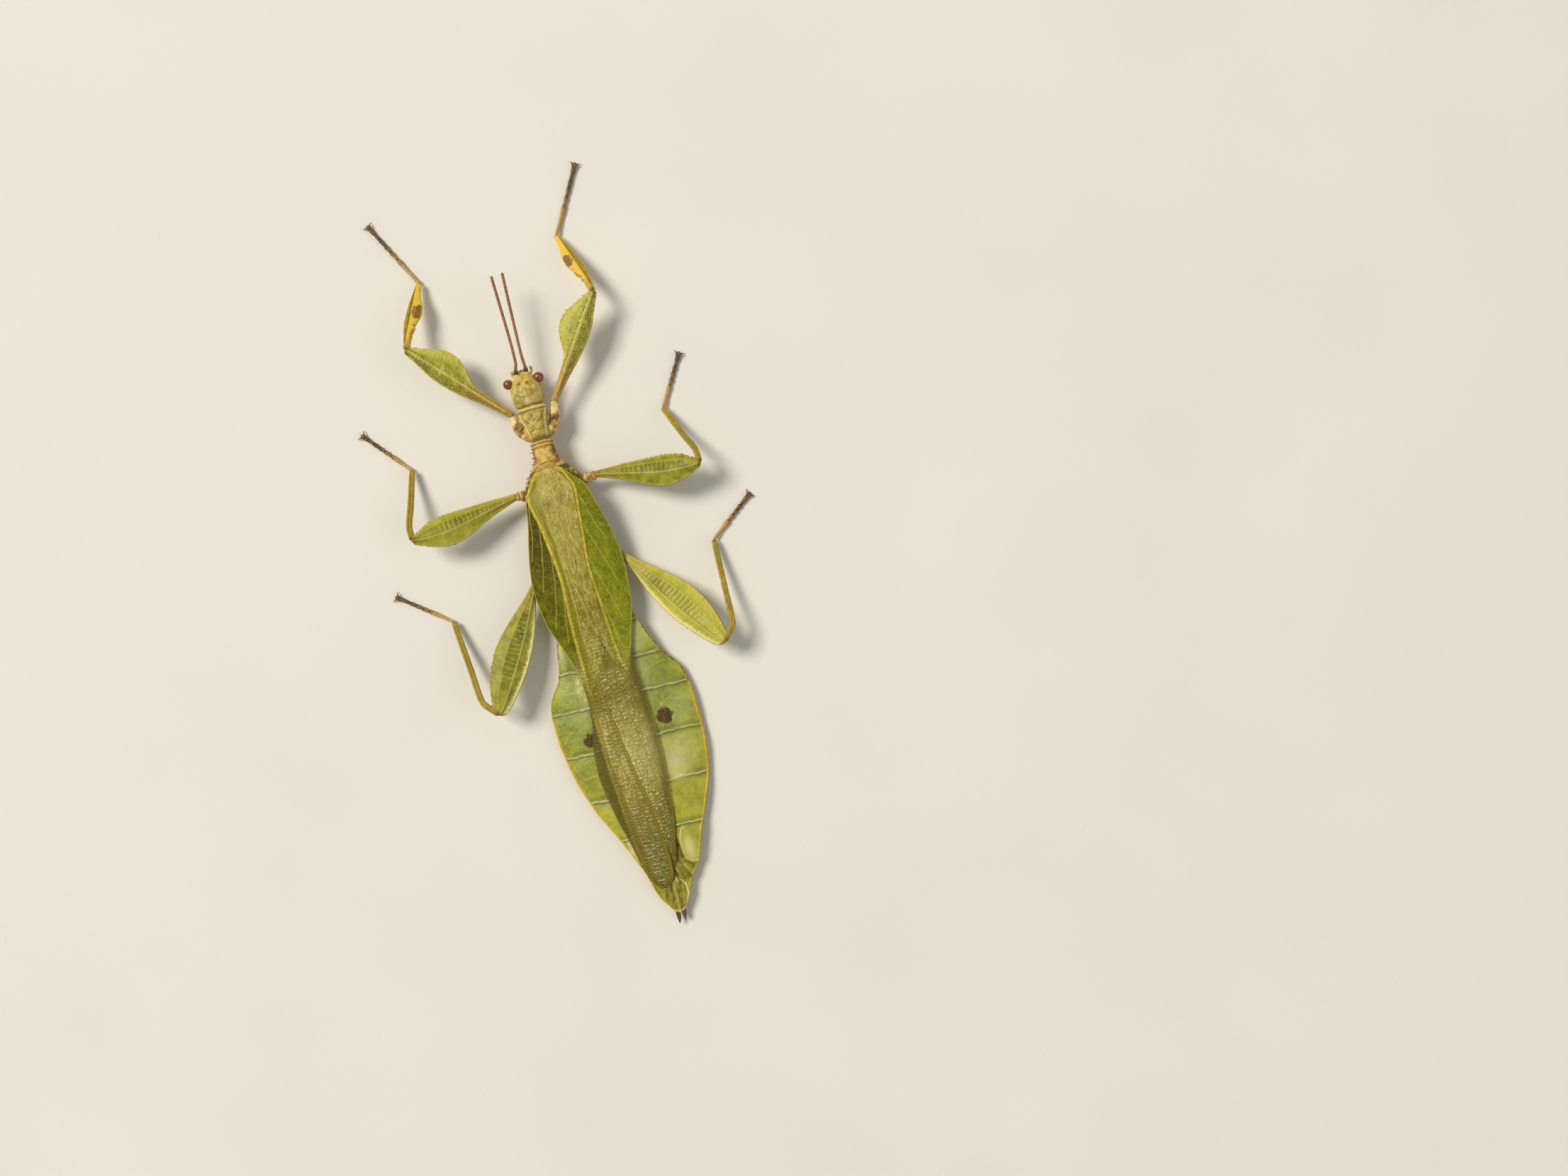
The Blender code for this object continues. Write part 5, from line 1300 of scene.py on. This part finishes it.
for name, shape in HIND_WINGS.items():
    side = -1 if name == "left" else 1
    out, station, from_inner, to_outer, top = sheet(shape, 96, 680, 1.1)
    x, y = side * out, -station
    place = np.stack([x, y], -1)
    lines = [curve(keys, station) for keys in shape["veins"]]
    vein = bell(np.min([abs(out - line) for line in lines], axis=0), 0.055)
    column = sum(out > line for line in lines)
    phase = scatter(np.stack([column, column], -1), 62) * math.tau
    way = station * math.tau / 0.47 + phase + 2.2 * lumps(place, 0.9, 63) + 1.2 * out
    ladder = np.where(station < 51.5, np.cos(way), np.cos(1.3 * way)) * (1 - vein)
    beyond = step(0.0, 0.5, out - lines[0]) if name == "left" else step(1.2, 0.2, to_outer)
    fall = (0.45 if name == "left" else 0.36) * step(2.2, 0.0, to_outer) * step(34, 40, station)
    if name == "left":
        fall = fall + 0.14 * step(0.14, 0.0, from_inner) + 0.5 * step(60, 63.2, station)
        fall = fall + 0.16 * step(0.5, 0.0, from_inner) * step(50, 53, station)
    else:
        fall = fall + 0.3 * step(57.5, 62, station)
    wavy = lumps(np.stack([x, y / 3], -1), 1.4, 64)
    main = bell(from_inner - 0.17, 0.14) if name == "left" else 0
    hidden = step(0.1, -0.2, x + curve(HIND_WINGS["left"]["inner"], station)) if name == "right" else 0
    shown = step(36, 39, station) * (1 - hidden)
    relief = 0.05 * vein + 0.02 * ladder * (1 - 0.7 * beyond) + 0.04 * wavy + 0.04 * main
    relief = relief * (0.2 + 0.8 * shown)
    height = back(out, station) + shape["lift"] - fall - 0.05 * hidden
    rounded_in = step(0, 0.3, np.minimum(from_inner, to_outer))
    z = height + np.where(top, relief, 0.5 * relief - 0.05 - 0.03 * rounded_in)
    # Where the painted glints show, and how strongly.
    bright = step(34, 37, station) * (1 - 0.15 * step(50, 53, station))
    bright = bright * (1 - 0.5 * bell(station - 38.5, 2.0))
    bright = bright * (1 if name == "right" else 0.55) * (1 - 0.85 * step(2.0, 3.2, x)) * (1 - 0.85 * beyond)
    # Painted glint dashes on the crests of the ladder.
    dash = step(0.45, 0.95, ladder) * step(-0.2, 0.5, lumps(place, 0.6, 65))
    dash = dash * (0.6 + 0.4 * lumps(place, 0.3, 67))
    if name == "right":
        fade = step(0.0, 1.6, to_outer + 1.3 * step(52, 55, station))
    else:
        fade = step(0.3, 0.0, out - lines[0])
    marks = {
        "vein": unit((0.75 if name == "left" else 0) * main + 0.35 * vein),
        "brown": 0.7 * sum(bell(np.hypot(x - spot_x, y - spot_y), 0.15) for spot_x, spot_y in SPECKS),
        "silver": unit(dash * bright * (0.8 if name == "right" else 0.35)),
        "bright": unit(bright * (1 - vein)),
        "turns": way / math.tau,
        "rear": unit(step(48, 54, station) + 0.9 * step(42.5, 38, station))
        + (0.55 * bell(station - 38.5, 2.0) if name == "left" else 0)
        + 0.4 * blot(x, y, -1.9, -38.5, 0.9, 2.6),
        "tail": step(52, 57, station),
        "light": bell(station - 45.8, 3.2),
        "margin": beyond * (0.6 - 0.4 * step(52, 55, station) if name == "right" else 1.0),
        "thick": unit(
            (0.35 if name == "left" else 0.12) + 0.8 * fade + 0.4 * vein * fade + 0.1 * ladder + main,
        ) * (1 - 0.75 * step(60.5, 63, station)),
    }
    if name == "left":
        band = step(0.05, -0.05, out - lines[0]) * step(-0.05, 0.05, out - lines[1])
        marks["brown"] = unit(marks["brown"] + (0.2 + 0.45 * step(43, 48, station)) * band)
        main_veins = 0.8 * bell(out - lines[1], 0.07) + 0.5 * bell(out - lines[0], 0.07)
        marks["vein"] = unit(marks["vein"] + main_veins)
        marks["olive"] = step(35, 36.5, station) * step(0.62, 0.45, from_inner) * step(0.06, 0.16, from_inner)
        marks["bright"] = marks["bright"] * (1 - 0.9 * marks["olive"])
        marks["silver"] = marks["silver"] * (1 - 0.9 * marks["olive"])
        marks["light"] = marks["light"] * (0.3 + 0.7 * step(0.4, 0.0, from_inner)) * step(2.4, 1.2, out)
    else:
        marks["brown"] = unit(marks["brown"] + bell(to_outer - 0.04, 0.07) * step(53, 55, station))
    rings = np.stack([x, y, z], -1)
    fit("hindwing_" + name + "_film", membrane, "wing_membrane", ["hindwing_" + name], (rings, marks))

# Forewings
# Leathery covers with a raised yellow main vein. The strip outside the vein is vivid green with
# a net of yellow veins, the strip inside it greyer and streaky. The left one laps over the
# right one as far as its main vein.
FOREWINGS = {
    "left": {
        "inner": (
            (10.7, -0.2), (11.0, -0.8), (12.2, -1.7), (13.6, -2.3), (14.9, -2.27), (16.7, -2.02),
            (19.1, -1.74), (21.3, -1.45), (23.6, -1.3), (26.2, -1.38), (29.5, -1.2), (32, -0.6),
            (34.5, 0.15), (36.6, 1.3), (38, 2.5),
        ),
        "outer": (
            (10.7, 1.5), (11.0, 1.95), (12.2, 2.7), (13.8, 3.55), (16.4, 4.1), (18.7, 4.8), (22.2, 5.7),
            (24, 5.9), (28, 5.6), (31, 4.65), (33.5, 3.9), (36, 3.3), (38, 2.95),
        ),
        "vein": (
            (10.7, 1.45), (11.0, 1.72), (12.2, 2.4), (13.5, 3.12), (14.4, 3.08), (15.5, 2.9), (17, 2.6),
            (19.1, 2.4), (21.3, 2.2), (23.6, 2.1), (25.8, 2.2), (28, 2.4), (30.2, 2.55), (32.9, 2.7),
            (38, 2.88),
        ),
    },
    "right": {
        "inner": ((10.7, 0.1), (31, 0.2), (34, 0.8), (35.8, 1.5), (36.8, 2.1)),
        "outer": (
            (10.7, 1.15), (11.0, 1.5), (12.2, 2.5), (13.6, 3.65), (15.8, 4.3), (20.4, 5.2), (23, 5.4),
            (28, 5.0), (31, 4.1), (34, 3.2), (36.8, 2.4),
        ),
        "vein": (
            (10.7, 1.05), (11.0, 1.25), (12.2, 1.9), (13.8, 2.45), (14.9, 2.38), (16.7, 2.12),
            (19.1, 1.85), (21.3, 1.55), (23.6, 1.4), (26.2, 1.5), (30.7, 1.6), (34, 1.75), (36.8, 2.2),
        ),
    },
}
FOREWING_RISE = {
    "left": (
        (10.7, 0.02), (11.1, 0.25), (11.8, 0.75), (13, 1.2), (16.5, 1.72), (26, 1.66), (30, 1.25),
        (33, 0.92), (35, 0.83), (36.6, 0.73), (38, 0.48),
    ),
    "right": (
        (10.7, 0.02), (11.1, 0.25), (11.8, 0.75), (13, 1.2), (16.5, 1.72), (26, 1.66), (30, 1.25),
        (33, 0.93), (34.8, 0.82), (36.8, 0.48),
    ),
}
FOREWING_LINES = (
    ((-1.7, -11.4), (-1.65, -14.6), (-1.6, -18.6), (-1.38, -19.8), (-1.4, -24), (-1.6, -30), (-1.6, -35)),
    ((-1.15, -19.9), (-1.0, -24), (-0.4, -28), (0.1, -31)),
    ((-0.9, -12.6), (-0.75, -14), (-0.3, -16), (-0.35, -20), (-0.6, -24)),
    ((-0.1, -12.4), (0.1, -14), (0.6, -16), (0.45, -20), (0.35, -26)),
    ((-2.6, -14.4), (-2.3, -16.5), (-2.0, -20)),
)
BRANCHES = {
    "left": (
        ((-3.2, -14), (-3.7, -16), (-4.0, -18), (-4.9, -20.6)),
        ((-2.8, -17), (-3.4, -20), (-3.9, -22), (-4.7, -24.4)),
        ((-2.4, -20.5), (-3.0, -24), (-3.8, -27), (-4.5, -29)),
        ((-2.2, -24.5), (-2.9, -28), (-3.5, -31)),
    ),
    "right": (
        ((2.5, -14.2), (3.1, -16.3), (3.5, -18.3), (4.3, -20.5)),
        ((2.1, -17.6), (2.8, -20.5), (3.5, -23), (4.1, -25.5)),
        ((1.6, -21.6), (2.4, -25), (3.1, -28), (3.5, -30)),
        ((1.5, -26), (2.1, -30), (2.5, -33)),
    ),
}


def wing_cover(name, fresh, shade, net_colour, net_strength):
    """A forewing's finish, with its own greens and the colour of its net."""
    skin = Finish(name, {"Specular IOR Level": 0.2})
    vivid = skin.grain(1.1, 5).between(0.3, 0.7).mix(ink(*shade), ink(*fresh))
    # Painted shade: the outer strip darkens to brown olive towards the front, strongly on the left cover and
    # a little on the right.
    vivid = (skin.mark("front") * 0.95).mix(vivid, ink(shade[0] * 0.7, shade[1] * 0.58, 0))
    cells = skin.net(0.33, 0.9, (1.3, 0.66, 1.0))
    vivid = (cells * net_strength * skin.grain(0.7, 3).between(0.25, 0.65)).mix(vivid, ink(*net_colour))
    # Painted glints: thin wavy strands of light on the centre's fine ridges, and rows of them along its
    # wrinkles.
    strands = skin.glints(0.3, (1.0, 0.14, 1.0), 0.05)
    centre = (skin.mark("front") * 0.5).mix(streaky(skin), ink(200, 182, 92))
    moss = skin.grain(0.4, 4, 0.65, (1.3, 0.8, 1.0)).between(0.5, 0.62)
    centre = (moss * skin.mark("front") * 0.7).mix(centre, ink(112, 112, 30))
    centre = (strands * 0.65).mix(centre, ink(214, 202, 128))
    rows = skin.dashes("turns", 0.34)
    centre = (rows * skin.mark("bright")).mix(centre, ink(236, 228, 172))
    colour = skin.mark("outer").mix(centre, vivid)
    # The band: painted shadow in a strip just inside the raised main vein, and on the left cover also the
    # olive strip between the main vein and the next line.
    colour = (skin.mark("band") * 0.7).mix(
        colour, skin.grain(0.6, 3).mix(ink(104, 104, 6), ink(150, 142, 24)),
    )
    colour = skin.mark("pale").mix(colour, ink(206, 194, 92))
    colour = skin.mark("tan").mix(colour, ink(210, 186, 106))
    colour = skin.mark("smudge").mix(colour, ink(98, 84, 40))
    colour = skin.mark("vein").mix(
        colour, skin.grain(0.5, 4).between(0.3, 0.7).mix(ink(178, 158, 36), ink(216, 196, 78)),
    )
    relief = skin.grain(0.14, 3) + 0.25 * cells * skin.mark("outer")
    relief = relief + 0.5 * strands * (1 - skin.mark("outer"))
    skin.done(colour, 0.3 + 0.25 * skin.grain(0.3), relief, 0.022)
    return skin


# The left cover's greens are darker than the right's: painted shade, the left cover lying in shade.
covers = {
    "left": wing_cover("cover_left", (114, 116, 0), (80, 80, 0), (168, 160, 34), 0.5),
    "right": wing_cover("cover_right", (146, 152, 6), (112, 122, 0), (206, 204, 84), 0.6),
}
for name, shape in FOREWINGS.items():
    side = -1 if name == "left" else 1
    out, station, from_inner, to_outer, top = sheet(shape, 104, 400, 0.3)
    x, y = side * out, -station
    place = np.stack([x, y], -1)
    main = curve(shape["vein"], station)
    beyond = np.maximum(out - main, 0)
    outside = step(-0.05, 0.2, out - main)
    end = np.minimum(station - station[0, 0], station[-1, 0] - station)
    height = back(out, station) + curve(FOREWING_RISE[name], station) - 0.1 * beyond - 0.028 * beyond**2
    if name == "right":
        height = height - 0.2 * step(-0.1, -0.28, out - main) * step(33, 27, station)
    else:
        height = height - 0.14 * step(0.14, 0.0, from_inner)
        height = height - 0.14 * step(0.8, 0.0, from_inner) * step(25, 28, station)
        height = height - 0.16 * step(0.5, 0.0, from_inner) * step(32.5, 34.5, station)
    height = height - 0.16 * step(0.2, 0.0, to_outer) * step(33, 35, station)
    broad = 0.28 if name == "left" else 0.23
    ridge = step(broad, 0.4 * broad, abs(out - main - 0.03)) * (0.35 + 0.65 * step(37, 30, station))
    branch = bell(np.min([near(x, y, line) for line in BRANCHES[name]], axis=0), 0.06) * outside
    wave = 0.1 * lumps(place, 1.1, 71)
    strand = bell(nearest(x + wave, y, FOREWING_LINES), 0.06) * (1 - outside)
    way = station * math.tau / 0.46 + 2.5 * lumps(place, 0.9, 77)
    way = way + 2.2 * (x - 0.4) ** 2 * step(25, 18, station)
    rungs = np.cos(way) * step(18, 33, station) * (1 - 0.6 * outside)
    margin = np.minimum(from_inner, to_outer)
    wavy = lumps(np.stack([x, y / 1.6], -1), 1.0, 74)
    crinkle = lumps(np.stack([x, y / 2.2], -1), 0.28, 75) * (1 - outside) + 0.5 * lumps(place, 0.4, 78)
    relief = 0.13 * ridge * step(0, 1.5, end) + 0.05 * branch + 0.04 * strand + 0.02 * rungs
    relief = relief + 0.05 * wavy + 0.025 * crinkle + 0.02 * bell(to_outer - 0.08, 0.07)
    knob = blot(x, y, -3.05, -13.6, 0.3, 0.45)
    relief = relief + 0.12 * knob
    thickness = 0.2 * np.sqrt(np.clip(np.minimum(margin, end) / 0.3, 0.02, 1)) * step(33, 27, station) + 0.03
    z = height + np.where(top, relief, relief * 0.4 - thickness)
    # Two darker blots at the front of the centre strip, and dark arcs at its front edge.
    smudge = blot(x, y, -1.1, -14.9, 0.5, 0.7) + blot(x, y, 0.5, -14.6, 0.45, 0.6)
    brow = bell(np.hypot(abs(x + 0.15) - 0.68, y + 11.35) - 0.3, 0.06) * step(-11.4, -11.2, y)
    marks = {
        "vein": ridge * step(38.2, 34, station) * (1 - 0.3 * step(20, 30, station)),
        "outer": outside * step(37.5, 31.5, station),
        "turns": way / math.tau,
        # On the outer strip the front mark is painted shade; in the centre it brings a paler front with mossy
        # patches.
        "front": (
            np.where(outside > 0.5, step(33, 13, station), step(27, 12, station))
            * (1 if name == "left" else 0.3)
        ),
        # Where the painted glints along the wrinkles show.
        "bright": 0.9 * step(29, 35, station) + 0.16 * step(12.6, 14, station) * step(29, 25, station),
        # Painted shadow inside the main vein, and the left cover's olive strip.
        "band": (
            bell(main - out - 0.42, 0.2)
            + (0.8 * step(0.1, 0.3, main - out) * step(-1.5, -1.7, x) if name == "left" else 0)
        ),
        "pale": unit(0.6 * strand + 0.5 * branch + 0.8 * step(0.14, 0.05, to_outer)),
        "smudge": unit(0.5 * smudge + 0.8 * brow),
        "tan": unit(0.8 * knob + 0.8 * step(11.7, 10.9, station)),
    }
    rings = np.stack([x, y, z], -1)
    fit("forewing_" + name + "_cover", covers[name], "wing_green", ["forewing_" + name], (rings, marks))
